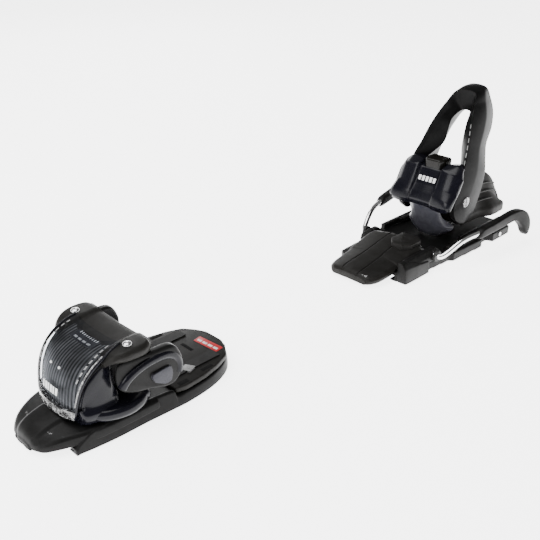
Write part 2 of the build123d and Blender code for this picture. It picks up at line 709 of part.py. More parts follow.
def length_screw():
    """Length and forward pressure screw, turned from the back."""
    x0 = heel_x - tail_len + 3
    body = rod_x(x0, x0 + 8, 0, 14.5, 5.2) + rod_x(x0 + 8, heel_x - 32.3, 0, 14.5, 4.6)
    body += rod_x(heel_x - 32.5, heel_x - 23.5, 0, 14.5, 3.5)
    body += rod_x(heel_x - 23.7, heel_x - 22, 0, 14.5, 4.6)
    return body - block(x0 - 1, x0 + 2, -0.7, 0.7, 10, 19)


def pressure_springs():
    """Two forward pressure springs beside the length screw."""
    springs = []
    for y in (-6.7, 6.7):
        springs.append(coil_x(heel_x - 23.5, heel_x - 17.9, y, 12.4, 1.9, 0.9, 3))
    return Compound(children=springs)


def track_rivets():
    """Rivets on the rear blocks of the track."""
    rivets = []
    out = track_w / 2 + 6
    for s in (-1, 1):
        y0, y1 = sorted((s * out, s * (out + 0.9)))
        rivets.append(rod_y(heel_x - 48, y0, y1, 4.5, 2.0))
    return Compound(children=rivets)


def all_parts():
    parts = {
        "toe_base": toe_base(),
        "toe_housing": toe_housing(),
        "toe_cover": toe_cover(),
        "toe_hood": toe_hood(),
        "toe_scale": toe_scale(),
        "toe_release_screw": toe_screw(),
        "toe_spring_nut": toe_nut(),
        "toe_spring": toe_spring(),
        "toe_plunger": toe_plunger(),
        "wing_left": wing_left(),
        "wing_pad_left": wing_pad_left(),
        "wing_pivot_pins": wing_pins(),
        "toe_side_screws": toe_side_screws(),
        "nose_screws": nose_screws(),
        "afd_plate": afd_plate(),
        "afd_pads": afd_insert(),
        "afd_screw": afd_screw(),
        "heel_track": heel_track(),
        "brake_carrier": brake_carrier(),
        "brake_collars": brake_caps(),
        "brake_pedal": brake_pedal(),
        "brake_wire": brake_wire(),
        "brake_foot_left": brake_foot_left(),
        "brake_springs": brake_spring(),
        "heel_housing": heel_housing(),
        "heel_window": heel_window(),
        "heel_scale": heel_scale(),
        "heel_release_screw": heel_screw(),
        "heel_spring_nut": heel_nut(),
        "heel_spring": heel_spring(),
        "heel_plunger": heel_plunger(),
        "heel_axle": axle(),
        "axle_screws": axle_screws(),
        "heel_lever": heel_lever(),
        "heel_cup": heel_cup(),
        "treadle": treadle(),
        "cup_badge": cup_badge(),
        "cup_cap": cup_cap(),
        "adjust_block": adjust_block(),
        "length_screw": length_screw(),
        "pressure_springs": pressure_springs(),
        "track_rivets": track_rivets(),
    }
    for name in ("wing", "wing_pad", "brake_foot"):
        parts[name + "_right"] = other_side(parts[name + "_left"])
    return parts


os.makedirs("parts", exist_ok=True)
for name, solid in all_parts().items():
    export_step(solid, "parts/" + name + ".step")
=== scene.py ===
import json
import math

import bmesh
import bpy
import numpy as np
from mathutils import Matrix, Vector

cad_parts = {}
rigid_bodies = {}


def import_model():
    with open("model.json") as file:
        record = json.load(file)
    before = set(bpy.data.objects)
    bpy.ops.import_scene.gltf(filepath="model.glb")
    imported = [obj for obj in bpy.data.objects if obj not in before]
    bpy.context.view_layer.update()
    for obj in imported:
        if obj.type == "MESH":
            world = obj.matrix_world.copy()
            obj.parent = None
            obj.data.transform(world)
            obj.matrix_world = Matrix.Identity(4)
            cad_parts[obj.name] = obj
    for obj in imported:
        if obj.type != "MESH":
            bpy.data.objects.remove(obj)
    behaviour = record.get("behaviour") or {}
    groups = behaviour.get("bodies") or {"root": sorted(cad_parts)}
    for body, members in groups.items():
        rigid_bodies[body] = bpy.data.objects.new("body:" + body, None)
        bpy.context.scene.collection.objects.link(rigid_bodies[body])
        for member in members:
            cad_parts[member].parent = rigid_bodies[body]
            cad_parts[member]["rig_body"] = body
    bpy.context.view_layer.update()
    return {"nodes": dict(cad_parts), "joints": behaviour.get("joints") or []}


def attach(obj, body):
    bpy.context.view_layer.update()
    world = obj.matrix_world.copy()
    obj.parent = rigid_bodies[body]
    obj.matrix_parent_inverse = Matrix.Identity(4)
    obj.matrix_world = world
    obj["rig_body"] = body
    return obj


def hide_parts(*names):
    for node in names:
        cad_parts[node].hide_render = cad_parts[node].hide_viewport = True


# Looks of the alpine step-in binding: smooth moulded shells, hood, badges and finishes
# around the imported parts.  Lengths are millimetres until put_mesh() turns them into metres.
# Outlines are counted in x from the toe's wing pivots or the heel's axle, and in z from the base.
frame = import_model()

MM = 0.001
JOINTS = {joint["name"]: joint for joint in frame["joints"]}
TOE_X = JOINTS["wing_left_swing"]["pos_m"][0] / MM
HEEL_X = JOINTS["lever_open"]["pos_m"][0] / MM


# ---------------------------------------------------------------- surfaces

def smooth_keys(keys, count, closed=False):
    """Catmull-Rom curve through the keys along the first axis, sampled evenly in key number."""
    keys = np.asarray(keys, float)
    last = len(keys) if closed else len(keys) - 1
    t = np.linspace(0, last, count, endpoint=not closed)
    i = np.minimum(t.astype(int), last - 1)
    f = (t - i).reshape((-1,) + (1,) * (keys.ndim - 1))

    def key(k):
        return keys[k % len(keys)] if closed else keys[np.clip(k, 0, len(keys) - 1)]

    a, b, c, d = key(i - 1), key(i), key(i + 1), key(i + 2)
    return 0.5 * (2 * b + (c - a) * f + (2 * a - 5 * b + 4 * c - d) * f ** 2
                  + (3 * b - a - 3 * c + d) * f ** 3)


def round_corners(loops, radius, steps=4):
    """Each corner of the closed loops becomes a quadratic Bezier arc that starts and ends
    radius away from the corner, or 0.45 of the side where the side is short."""
    loops = np.asarray(loops, float)
    before = np.roll(loops, 1, axis=-2) - loops
    after = np.roll(loops, -1, axis=-2) - loops
    size_b = np.linalg.norm(before, axis=-1, keepdims=True) + 1e-9
    size_a = np.linalg.norm(after, axis=-1, keepdims=True) + 1e-9
    r = np.broadcast_to(np.asarray(radius, float), loops.shape[-2:-1])[:, None]
    start = loops + before / size_b * np.minimum(r, 0.45 * size_b)
    end = loops + after / size_a * np.minimum(r, 0.45 * size_a)
    t = np.linspace(0, 1, steps)[:, None]
    arc = ((1 - t) ** 2 * start[..., None, :] + 2 * t * (1 - t) * loops[..., None, :]
           + t ** 2 * end[..., None, :])
    return arc.reshape(loops.shape[:-2] + (-1, loops.shape[-1]))


def put_mesh(name, points, faces, sharp=35.0):
    """A mesh object from points in millimetres and lists of corner numbers."""
    mesh = bpy.data.meshes.new(name)
    mesh.from_pydata((np.asarray(points) * MM).tolist(), [], [list(f) for f in faces])
    mesh.validate()
    mesh.shade_smooth()
    mesh.set_sharp_from_angle(angle=math.radians(sharp))
    piece = bpy.data.objects.new(name, mesh)
    bpy.context.scene.collection.objects.link(piece)
    return piece


def grid_faces(rows, cols, wrap_rows=False, wrap_cols=True):
    """Quads between neighbours of a rows by cols grid, as one array."""
    r = np.arange(rows if wrap_rows else rows - 1)
    c = np.arange(cols if wrap_cols else cols - 1)
    rr, cc = np.meshgrid(r, c, indexing="ij")
    r2, c2 = (rr + 1) % rows, (cc + 1) % cols
    quads = np.stack([rr * cols + cc, rr * cols + c2, r2 * cols + c2, r2 * cols + cc], -1)
    return quads.reshape(-1, 4)


def rod_faces(rows, cols):
    """Quads round a closed grid, and one flat face over each end."""
    last = (rows - 1) * cols
    ends = [list(range(cols))[::-1], list(range(last, last + cols))]
    return grid_faces(rows, cols).tolist() + ends


def face_out(piece):
    """Turns every face outwards, once the shape is closed."""
    work = bmesh.new()
    work.from_mesh(piece.data)
    bmesh.ops.remove_doubles(work, verts=work.verts, dist=1e-7)
    bmesh.ops.recalc_face_normals(work, faces=work.faces)
    work.to_mesh(piece.data)
    work.free()
    return piece


def loft(name, rows, radius=1.5, along=60, corner=4, sharp=35.0, end=1.2):
    """Closed shell through cross-sections: each row of corners is rounded, the rows are joined
    by Catmull-Rom curves, and each end is a rounded edge of size end and a flat face."""
    grid = smooth_keys(round_corners(rows, radius, corner), along)
    count = grid.shape[1]
    caps = []
    for edge, inner in ((grid[0], grid[1]), (grid[-1], grid[-2])):
        centre = edge.mean(0)
        out = (edge - inner).mean(0)
        out /= np.linalg.norm(out) + 1e-9
        spread = np.linalg.norm(edge - centre, axis=1, keepdims=True) + 1e-9
        rings = [centre + (edge - centre) * np.maximum(1 - end * (1 - math.cos(a)) / spread, 0.05)
                 + out * end * math.sin(a) for a in np.radians((30, 60, 90))]
        caps.append(rings)
    stack = caps[0][::-1] + list(grid) + caps[1]
    return face_out(put_mesh(name, np.concatenate(stack), rod_faces(len(stack), count), sharp))


def outline_rings(outline, inset):
    """The closed outline moved inwards along its own normals, by inset."""
    ahead = np.roll(outline, -1, 0) - np.roll(outline, 1, 0)
    ahead /= np.linalg.norm(ahead, axis=1, keepdims=True) + 1e-9
    area = 0.5 * np.sum(outline[:, 0] * np.roll(outline[:, 1], -1)
                        - np.roll(outline[:, 0], -1) * outline[:, 1])
    normal = np.stack([-ahead[:, 1], ahead[:, 0]], 1) * (1 if area > 0 else -1)
    return outline + normal * inset


def slab(name, outline, low, high, place, edge=1.5, smooth=0, sharp=35.0, corner=0.0, steps=4):
    """Plate over a closed outline (a, b), from low to high, whose edges are quarter rounds of
    size edge.  place(a, b, h) turns outline and height into x, y, z as arrays."""
    outline = np.asarray(outline, float)
    if smooth:
        outline = smooth_keys(outline, smooth, closed=True)
    if corner:
        outline = round_corners(outline, corner, 5)
    angles = np.linspace(0, math.pi / 2, steps)
    rings, heights = [], []
    for a in angles:
        rings.append(outline_rings(outline, edge * (1 - math.sin(a))))
        heights.append(low + edge * (1 - math.cos(a)))
    for a in angles[::-1]:
        rings.append(outline_rings(outline, edge * (1 - math.sin(a))))
        heights.append(high - edge * (1 - math.cos(a)))
    count = len(outline)
    points = np.concatenate([place(r[:, 0], r[:, 1], np.full(count, h))
                             for r, h in zip(rings, heights)])
    return face_out(put_mesh(name, points, rod_faces(len(rings), count), sharp))


def plan(dx=0.0):
    """Outline in X and Y with height along Z."""
    return lambda a, b, h: np.stack([a + dx, b, h], 1)


def tube(name, path, radius, around=20, along=120, sharp=60.0):
    """Round bar of one radius along a Catmull-Rom path, its frame carried without twist."""
    line = smooth_keys(path, along)
    step = np.gradient(line, axis=0)
    step /= np.linalg.norm(step, axis=1, keepdims=True)
    up = np.zeros_like(step)
    up[0] = np.cross(step[0], [0.3, 0.2, 1.0])
    for k in range(1, len(step)):
        up[k] = up[k - 1] - step[k] * np.dot(up[k - 1], step[k])
    up /= np.linalg.norm(up, axis=1, keepdims=True)
    across = np.cross(step, up)
    a = np.linspace(0, 2 * math.pi, around, endpoint=False)
    ring = np.cos(a)[None, :, None] * up[:, None] + np.sin(a)[None, :, None] * across[:, None]
    points = (line[:, None] + ring * radius).reshape(-1, 3)
    return face_out(put_mesh(name, points, rod_faces(along, around), sharp))


def mirrored(piece, name):
    """The same piece on the other side of the mid-plane."""
    mesh = piece.data.copy()
    mesh.name = name
    co = np.zeros(len(mesh.vertices) * 3)
    mesh.vertices.foreach_get("co", co)
    co = co.reshape(-1, 3) * (1, -1, 1)
    mesh.vertices.foreach_set("co", co.ravel())
    mesh.flip_normals()
    twin = bpy.data.objects.new(name, mesh)
    bpy.context.scene.collection.objects.link(twin)
    return twin


def soften(node, name, voxel=0.6, passes=6, strength=0.5):
    """Copy of a CAD node as one evenly meshed skin, its edges eased by averaging neighbours."""
    source = frame["nodes"][node].data.copy()
    source.name = name
    work = bmesh.new()
    work.from_mesh(source)
    bmesh.ops.remove_doubles(work, verts=work.verts, dist=1e-6)
    work.to_mesh(source)
    work.free()
    piece = bpy.data.objects.new(name, source)
    bpy.context.scene.collection.objects.link(piece)
    remesh = piece.modifiers.new("skin", "REMESH")
    remesh.mode = "VOXEL"
    remesh.voxel_size = voxel * MM
    ease = piece.modifiers.new("ease", "SMOOTH")
    ease.factor = strength
    ease.iterations = passes
    baked = bpy.data.meshes.new_from_object(
        piece.evaluated_get(bpy.context.evaluated_depsgraph_get()))
    piece.modifiers.clear()
    piece.data = baked
    baked.name = name
    baked.materials.clear()
    baked.shade_smooth()
    return piece


def finish(piece, body, material, slot, *nodes):
    """Puts the material on a piece, lets it ride on its body and stand for its CAD nodes."""
    piece.data.materials.clear()
    piece.data.materials.append(material)
    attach(piece, body)
    if nodes:
        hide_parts(*nodes)
    return piece


def finish_pair(left, body, material, slot, left_nodes=(), right_nodes=()):
    """Finishes a left piece and its mirror image on one body."""
    right = mirrored(left, left.name.replace("_left", "_right"))
    finish(right, body, material, slot, *right_nodes)
    finish(left, body, material, slot, *left_nodes)


# ---------------------------------------------------------------- shader maths

class Sock:
    """A shader socket that takes part in Python expressions."""

    def __init__(self, tree, socket):
        self.tree, self.socket = tree, socket

    def node(self, kind, values=(), out=0, **settings):
        """Any other node: settings first, then the values or links of its sockets."""
        made = self.tree.nodes.new(kind)
        for key, value in settings.items():
            setattr(made, key, value)
        for key, value in dict(values).items():
            if isinstance(value, Sock):
                self.tree.links.new(value.socket, made.inputs[key])
            else:
                made.inputs[key].default_value = value
        return Sock(self.tree, made.outputs[out])

    def maths(self, operation, *terms):
        return self.node("ShaderNodeMath", enumerate(terms), operation=operation)

    def __add__(self, other): return self.maths("ADD", self, other)
    def __radd__(self, other): return self.maths("ADD", other, self)
    def __sub__(self, other): return self.maths("SUBTRACT", self, other)
    def __rsub__(self, other): return self.maths("SUBTRACT", other, self)
    def __mul__(self, other): return self.maths("MULTIPLY", self, other)
    def __rmul__(self, other): return self.maths("MULTIPLY", other, self)

    def above(self, edge, soft):
        """0 below edge, 1 above it, over a soft band."""
        return self.node("ShaderNodeMapRange", {0: self, 1: edge - soft, 2: edge + soft},
                         interpolation_type="SMOOTHSTEP")

    def wave(self, period, phase=0.0):
        """Sine of the value, from 0 to 1, once in each period."""
        return self.maths("SINE", self * (2 * math.pi / period) + phase) * 0.5 + 0.5

    def clamp(self):
        return self.node("ShaderNodeClamp", {0: self})


class Finish:
    """One material: object position in metres as sockets, and its Principled shader."""

    def __init__(self, name):
        self.material = bpy.data.materials.new(name)
        self.material.use_nodes = True
        self.tree = self.material.node_tree
        self.tree.nodes.clear()
        root = Sock(self.tree, None)
        self.root = root
        self.place = root.node("ShaderNodeTexCoord", out="Object")
        self.y = root.node("ShaderNodeSeparateXYZ", {0: self.place}, out=1)
        self.shader = self.tree.nodes.new("ShaderNodeBsdfPrincipled")
        self.out = self.tree.nodes.new("ShaderNodeOutputMaterial")
        self.tree.links.new(self.shader.outputs[0], self.out.inputs[0])

    def noise(self, size_mm, detail=2.0, rough=0.5, distort=0.0):
        """Noise whose features are about size_mm wide."""
        return self.root.node("ShaderNodeTexNoise", {
            "Vector": self.place, "Scale": 1 / (size_mm * MM), "Detail": detail,
            "Roughness": rough, "Distortion": distort})

    def cells(self, size_mm):
        """Distance to the nearest of scattered points about size_mm apart."""
        return self.root.node("ShaderNodeTexVoronoi", {
            "Vector": self.place, "Scale": 1 / (size_mm * MM)})

    def mix(self, factor, low, high):
        """Colour from low to high by the factor."""
        return self.root.node("ShaderNodeMix", {0: factor, 6: low, 7: high}, out=2,
                              data_type="RGBA")

    def bump(self, height, distance_mm, strength=1.0):
        return self.root.node("ShaderNodeBump", {
            "Strength": strength, "Distance": distance_mm * MM, "Height": height})

    def set(self, **values):
        """Puts values or sockets on the Principled shader's inputs."""
        names = {"color": "Base Color", "rough": "Roughness", "metal": "Metallic",
                 "normal": "Normal", "coat": "Coat Weight",
                 "coat_rough": "Coat Roughness", "spec": "Specular IOR Level",
                 "emit": "Emission Color", "glow": "Emission Strength"}
        for key, value in values.items():
            socket = self.shader.inputs[names[key]]
            if isinstance(value, Sock):
                self.tree.links.new(value.socket, socket)
            else:
                socket.default_value = value
        return self


def grey(value, warm=0.0, blue=0.0):
    """Grey of a value, a little redder by warm or bluer by blue."""
    return (value + warm, value + warm * 0.6, value + blue, 1.0)


def moulded(name, low, high, rough, grain, warm=0.0, blue=0.0, mottle=9.0, coat=0.0,
            spec=0.09, relief=0.03):
    """Moulded plastic: fine spark grain, slow flow marks and rubbed patches."""
    f = Finish(name)
    fine = f.noise(grain, 3.0, 0.6)
    slow = f.noise(mottle, 2.0, 0.5, 0.6)
    tone = slow.above(0.5, 0.28)
    rub = f.noise(mottle * 2.4, 4.0, 0.62).above(0.56, 0.1)
    f.set(color=f.mix(tone, grey(low, warm, blue), grey(high, warm, blue)),
          rough=rough + (fine - 0.5) * 0.10 + rub * 0.07 - slow * 0.06,
          spec=spec, normal=f.bump(fine * 0.75 + slow * 0.25, relief, 0.55))
    if coat:
        f.set(coat=coat, coat_rough=0.12)
    return f.material


def steel(name, tone=0.55, rough=0.22, streak=0.5):
    """Nickel plated steel with fine turning marks."""
    f = Finish(name)
    lines = f.noise(streak, 4.0, 0.7, 0.0)
    slow = f.noise(4.0, 2.0)
    f.set(color=f.mix(slow.above(0.5, 0.3), grey(tone * 0.86), grey(tone * 1.1)), metal=1.0,
          rough=rough + (lines - 0.5) * 0.16, normal=f.bump(lines, 0.01, 0.3))
    return f.material


black_shell = moulded("black_shell_plastic", 0.0028, 0.0055, 0.44, 0.35, warm=0.0002)
gloss_shell = moulded("gloss_shell_plastic", 0.0022, 0.0048, 0.22, 0.30, blue=0.0020, mottle=22.0,
                      spec=0.16, relief=0.008)
lever_shell = moulded("lever_plastic", 0.0026, 0.0046, 0.34, 0.32, spec=0.05, relief=0.015)
warm_shell = moulded("warm_black_plastic", 0.0050, 0.0095, 0.46, 0.38, warm=0.0012)
grey_shell = moulded("grey_blue_plastic", 0.024, 0.040, 0.34, 0.4, blue=0.007, spec=0.2,
                     relief=0.01)
olive_shell = moulded("olive_black_plastic", 0.0030, 0.0055, 0.20, 0.4, warm=0.0012, coat=0.1)
glide = moulded("low_friction_plastic", 0.02, 0.03, 0.3, 0.5)


def red_plastic():
    """Signal red plastic with slow drift of tone."""
    f = Finish("red_plastic")
    drift = f.noise(5.0, 3.0)
    f.set(color=f.mix(drift, (0.30, 0.006, 0.010, 1), (0.46, 0.014, 0.018, 1)), spec=0.3,
          rough=0.34 + drift * 0.1, normal=f.bump(f.noise(0.4, 2.0), 0.02, 0.4))
    return f.material


red_part = red_plastic()
bright = steel("nickel_steel", 0.62, 0.2)
dark_steel = steel("spring_steel", 0.3, 0.32)
chrome = steel("polished_wire", 0.78, 0.09, 0.9)


# ---------------------------------------------------------------- toe unit

MID = 0.6          # half width of the strip that joins the two halves of a cross-section


def mirror_half(half):
    """A closed cross-section (y, z) from its left half, listed from the mid-plane round."""
    half = np.asarray(half, float)
    return np.concatenate([half, half[::-1] * (-1, 1)])


def cross_rows(stations, dx):
    """Cross-sections at stations [(x, half section), ...] as rows of x, y, z."""
    rows = []
    for x, half in stations:
        loop = mirror_half(half)
        rows.append(np.column_stack([np.full(len(loop), x + dx), loop]))
    return np.array(rows)


def toe_nose():
    """Low nose of the carriage with its middle ridge and sloping flanks."""
    keys = [  # x, ridge top, ridge half width, shoulder half width and height, low edge, underside
        (60.0, 6.0, 6.0, 9.0, 4.6, 3.4, 2.0), (58.8, 9.0, 7.6, 13.0, 6.4, 3.4, 1.8),
        (56.0, 11.6, 8.6, 17.2, 8.4, 3.0, 1.8), (51.0, 14.0, 9.2, 21.4, 10.6, 4.0, 3.2),
        (44.0, 15.8, 9.6, 25.2, 12.0, 4.6, 4.4), (36.0, 16.6, 10.2, 28.6, 12.6, 5.0, 4.6),
        (24.0, 15.6, 11.0, 31.6, 12.8, 5.4, 4.6), (6.0, 13.6, 13.0, 33.4, 12.9, 6.0, 4.6),
        (-16.0, 13.0, 14.0, 33.6, 12.9, 6.0, 4.6)]
    stations = []
    for x, top, ridge, out, shoulder, low, under in keys:
        stations.append((x, [(MID, top), (ridge, top - 0.5), (ridge + 2.6, top - 2.6),
                             (out - 1.6, shoulder), (out + 0.6, shoulder - 1.6),
                             (out + 1.4, low + 0.8), (out - 0.8, low - 0.6), (out - 3.4, under),
                             (MID, under)]))
    return loft("toe_nose", cross_rows(stations, TOE_X), radius=0.7, along=90, corner=3, sharp=24)


def toe_carriage():
    """Side skirts with the open rail channel between them, drawn in to the tail."""
    keys = [  # x, half width at the foot, half width and height of the top edge, deck height
        (41.0, 30.8, 30.2, 4.6, 4.4), (38.0, 31.0, 30.4, 7.4, 7.0), (30.0, 32.2, 31.2, 12.0, 11.6),
        (14.0, 33.8, 31.6, 13.4, 12.8), (-6.0, 34.4, 32.0, 13.6, 12.8),
        (-22.0, 35.4, 32.8, 13.0, 12.2), (-29.6, 35.8, 33.6, 12.2, 11.0),
        (-31.4, 36.0, 34.2, 8.0, 7.8), (-40.0, 36.2, 34.6, 7.9, 7.7), (-56.0, 35.0, 33.6, 7.9, 7.7),
        (-70.0, 31.8, 30.4, 7.9, 7.7), (-82.0, 25.8, 24.4, 7.8, 7.6), (-91.0, 16.4, 15.0, 7.6, 7.4),
        (-95.6, 9.0, 8.0, 6.8, 6.4)]
    stations = []
    for x, foot, top, height, deck in keys:
        wide = min(28.2, foot - 2.6)
        neck = min(23.2, foot - 4.6)
        stations.append((x, [(MID, deck), (top - 3.2, deck), (top - 2.2, height),
                             (top, height - 0.4), (foot - 0.2, 2.2), (foot, 0.0),
                             (neck, 0.0), (neck, 1.8), (wide, 1.8),
                             (wide, min(5.2, deck - 1.6)), (MID, min(5.2, deck - 1.6))]))
    radius = np.array([0.2, 0.6, 0.7, 1.4, 1.0, 0.7, 0.3, 0.3, 0.3, 0.3, 0.2])
    radius = np.concatenate([radius, radius[::-1]])
    return loft("toe_carriage", cross_rows(stations, TOE_X), radius=radius, along=110, corner=4)


finish(toe_nose(), "base", black_shell, "black_shell", "toe_base")
finish(toe_carriage(), "base", black_shell, "black_shell")


# Mid-plane line of the hood from its foot to its back edge, and the line of its side rim.
HOOD_MIDDLE = np.array([(39.6, 0, 17.6), (39.4, 0, 22.0), (38.5, 0, 29.0), (36.7, 0, 37.0),
                        (33.6, 0, 43.8), (29.0, 0, 49.4), (23.0, 0, 53.4), (16.5, 0, 55.8),
                        (9.5, 0, 56.8), (1.5, 0, 57.0)], float)
HOOD_RIM = np.array([(35.4, 20.6, 17.4), (34.8, 21.8, 22.0), (33.3, 23.0, 30.0), (30.8, 24.2, 38.0),
                     (27.2, 25.2, 44.4), (22.6, 26.0, 49.6), (17.4, 26.4, 53.4), (11.8, 26.2, 56.4),
                     (6.6, 25.6, 58.6), (1.0, 24.8, 59.8)], float)
HOOD_CROWN = 2.6
HOOD_WALL = 1.6
WINDOW_FACE, WINDOW_PRINT = -1.9, -1.75     # lifts of the window panel and of its print


def on_hood(s, v, lift=0.0):
    """Points of the hood's outer face.  s runs 0 to 1 from the foot to the back edge and v from
    -1 to 1 across: y is v times the rim's, and x and z go from the middle line to the rim line
    with |v| to the power HOOD_CROWN.  lift moves the points out along the face's normal."""
    s, v = np.broadcast_arrays(np.asarray(s, float), np.asarray(v, float))

    def face(s, v):
        grid = np.linspace(0, 1, 200)
        middle = smooth_keys(HOOD_MIDDLE, 200)
        rim = smooth_keys(HOOD_RIM, 200)
        m = np.stack([np.interp(s, grid, middle[:, k]) for k in range(3)], -1)
        r = np.stack([np.interp(s, grid, rim[:, k]) for k in range(3)], -1)
        blend = np.abs(v)[..., None] ** HOOD_CROWN
        out = m + (r - m) * blend
        out[..., 1] = r[..., 1] * v
        return out

    d = 2e-3
    along = face(s + d, v) - face(s - d, v)
    across = face(s, v + d) - face(s, v - d)
    normal = np.cross(across, along)
    normal /= np.linalg.norm(normal, axis=-1, keepdims=True) + 1e-9
    normal *= np.where(normal[..., :1] + normal[..., 2:] < 0, -1.0, 1.0)
    return face(s, v) + normal * lift + (TOE_X, 0, 0)


def hood_sheet(name, s0, s1, v0, v1, low, high, rows=60, cols=60, shape=None, sharp=50.0):
    """Closed curved sheet over a patch of the hood, between two lifts.  shape(s) scales v."""
    s = np.linspace(s0, s1, rows)[:, None] + np.zeros((1, cols))
    v = np.zeros((rows, 1)) + np.linspace(v0, v1, cols)[None]
    if shape is not None:
        v = v * shape(s)
    outer, inner = on_hood(s, v, high), on_hood(s, v, low)
    points = np.concatenate([outer.reshape(-1, 3), inner.reshape(-1, 3)])
    top = grid_faces(rows, cols, wrap_cols=False)
    base = rows * cols
    edge = np.concatenate([np.arange(cols), np.arange(1, rows) * cols + cols - 1,
                           (rows - 1) * cols + np.arange(cols - 2, -1, -1),
                           np.arange(rows - 2, 0, -1) * cols])
    after = np.roll(edge, -1)
    walls = np.stack([edge, after, after + base, edge + base], 1)
    faces = top.tolist() + (top[:, ::-1] + base).tolist() + walls.tolist()
    return face_out(put_mesh(name, points, faces, sharp))


def clear_plastic():
    """Clear polycarbonate: mostly see-through, with gloss that grows at grazing angles."""
    f = Finish("clear_plastic")
    rub = f.noise(6.0, 3.0, 0.6)
    f.set(color=(0.004, 0.0045, 0.005, 1), rough=0.30 + rub.above(0.62, 0.12) * 0.06, spec=0.12,
          normal=f.bump(f.noise(14.0, 1.0), 0.08, 0.4))
    glaze = f.root.node("ShaderNodeLayerWeight", {"Blend": 0.30}, out=1)
    see = f.root.node("ShaderNodeBsdfTransparent", {"Color": (0.93, 0.94, 0.96, 1)})
    mixed = f.tree.nodes.new("ShaderNodeMixShader")
    factor = glaze.above(0.62, 0.25) * 0.45
    f.tree.links.new(factor.socket, mixed.inputs[0])
    f.tree.links.new(see.socket, mixed.inputs[1])
    f.tree.links.new(f.shader.outputs[0], mixed.inputs[2])
    f.tree.links.new(mixed.outputs[0], f.out.inputs[0])
    return f.material


def striped_insert():
    """Dark insert with fine lengthwise stripes whose tone drifts slowly, lightened in broad patches
    by a painted sheen.
    """
    f = Finish("striped_insert")
    stripe = f.y.wave(0.0025)
    broken = f.noise(2.2, 2.0, 0.6)
    # Painted sheen: a slow noise that lightens the stripes' colour in broad patches, standing for
    # light on the insert.
    painted_sheen = f.noise(17.0, 1.0).above(0.5, 0.16)
    tone = (stripe.above(0.5, 0.5) * (0.7 + broken * 0.3) * (0.35 + painted_sheen * 0.65)).clamp()
    f.set(color=f.mix(tone, grey(0.0012), grey(0.075)), rough=0.42 - stripe * 0.08, spec=0.08,
          normal=f.bump(broken, 0.02, 0.4), coat=0.12, coat_rough=0.3)
    return f.material


def crystal_rim():
    """Thick moulded foot of the hood: frosted facets, their colour lightened in noise patches that
    are partly the frost's own whitish grey and partly painted glints.
    """
    f = Finish("crystal_rim")
    cell = f.cells(4.2)
    lump = f.noise(2.6, 3.0, 0.6)
    # Noise patches that whiten the colour: partly whitish frost, partly painted glints.
    painted_glint = lump.above(0.57, 0.07)
    f.set(color=f.mix(painted_glint, grey(0.022), grey(0.30)), rough=0.16, spec=0.9,
          normal=f.bump(cell + lump, 0.9, 0.9), coat=0.6, coat_rough=0.05)
    return f.material


def print_white(name, low=0.45, high=0.62):
    """Pad printed mark, a little thin in places."""
    f = Finish(name)
    worn = f.noise(1.1, 3.0, 0.6).above(0.42, 0.12)
    f.set(color=f.mix(worn, grey(low), grey(high)), rough=0.42,
          normal=f.bump(worn, 0.01, 0.4))
    return f.material


clear = clear_plastic()
stripes = striped_insert()
rim_finish = crystal_rim()
white_print = print_white("white_print")
grey_print = print_white("grey_print", 0.10, 0.22)
# Near-black for painted shade: the dark of hollows and gaps, put on flat sheets and patches.
recess_shade = moulded("recess_painted_shade", 0.0008, 0.0016, 0.7, 0.4)
window_dark = moulded("window_inlay", 0.012, 0.03, 0.3, 0.5, blue=0.002)


def insert_reach(s):
    """Share of the hood's half width that the striped insert takes at s."""
    return np.interp(s, (0.06, 0.3, 0.55, 0.75, 1.0), (0.90, 0.94, 0.96, 0.96, 0.96))


hood = hood_sheet("toe_hood_shell", 0.0, 1.0, -1.0, 1.0, -HOOD_WALL, 0.0, 90, 90)
finish(hood, "base", clear, "clear_cover", "toe_hood")
insert = hood_sheet("toe_insert", 0.04, 0.985, -1.0, 1.0, -3.2, -2.2, 80, 80, insert_reach)
finish(insert, "base", stripes, "weave_insert", "toe_cover")
# Painted shade: a near-black sheet under the insert, standing for the shade inside the hood around
# the insert's edges.
shade = hood_sheet("toe_insert_shade_sheet", 0.0, 1.0, -0.995, 0.995, -7.0, -3.4, 60, 60)
finish(shade, "base", recess_shade, "gloss_shell")
rim = hood_sheet("toe_hood_foot", 0.0, 0.13, -0.98, 0.98, -4.2, 0.25, 16, 80)
finish(rim, "base", rim_finish, "clear_cover")
for hand, v in (("left", 1), ("right", -1)):
    bead = tube("toe_hood_bead_" + hand, on_hood(np.linspace(0.02, 0.98, 24), 0.985 * v, -0.6),
                0.9, 12, 90)
    finish(bead, "base", gloss_shell, "gloss_shell")

# Release window, its scale, and plain bars in place of any lettering.
panel = hood_sheet("toe_window_panel", 0.80, 0.99, -0.46, 0.46, -2.2, WINDOW_FACE,
                   20, 30)
finish(panel, "base", window_dark, "scale_print", "toe_scale")
for k in range(9):
    v = -0.34 + 0.085 * k
    long = 0.035 if k % 4 == 0 else 0.02
    tick = hood_sheet("toe_scale_tick_%d" % k, 0.90, 0.90 + long * 1.6, v, v + 0.018,
                      WINDOW_FACE, WINDOW_PRINT, 4, 3)
    finish(tick, "base", white_print, "scale_print")
for k in range(4):
    bar = hood_sheet("toe_window_bar_%d" % k, 0.825, 0.85, -0.34 + 0.18 * k, -0.22 + 0.18 * k,
                     WINDOW_FACE, WINDOW_PRINT, 3, 5)
    finish(bar, "base", grey_print, "scale_print")
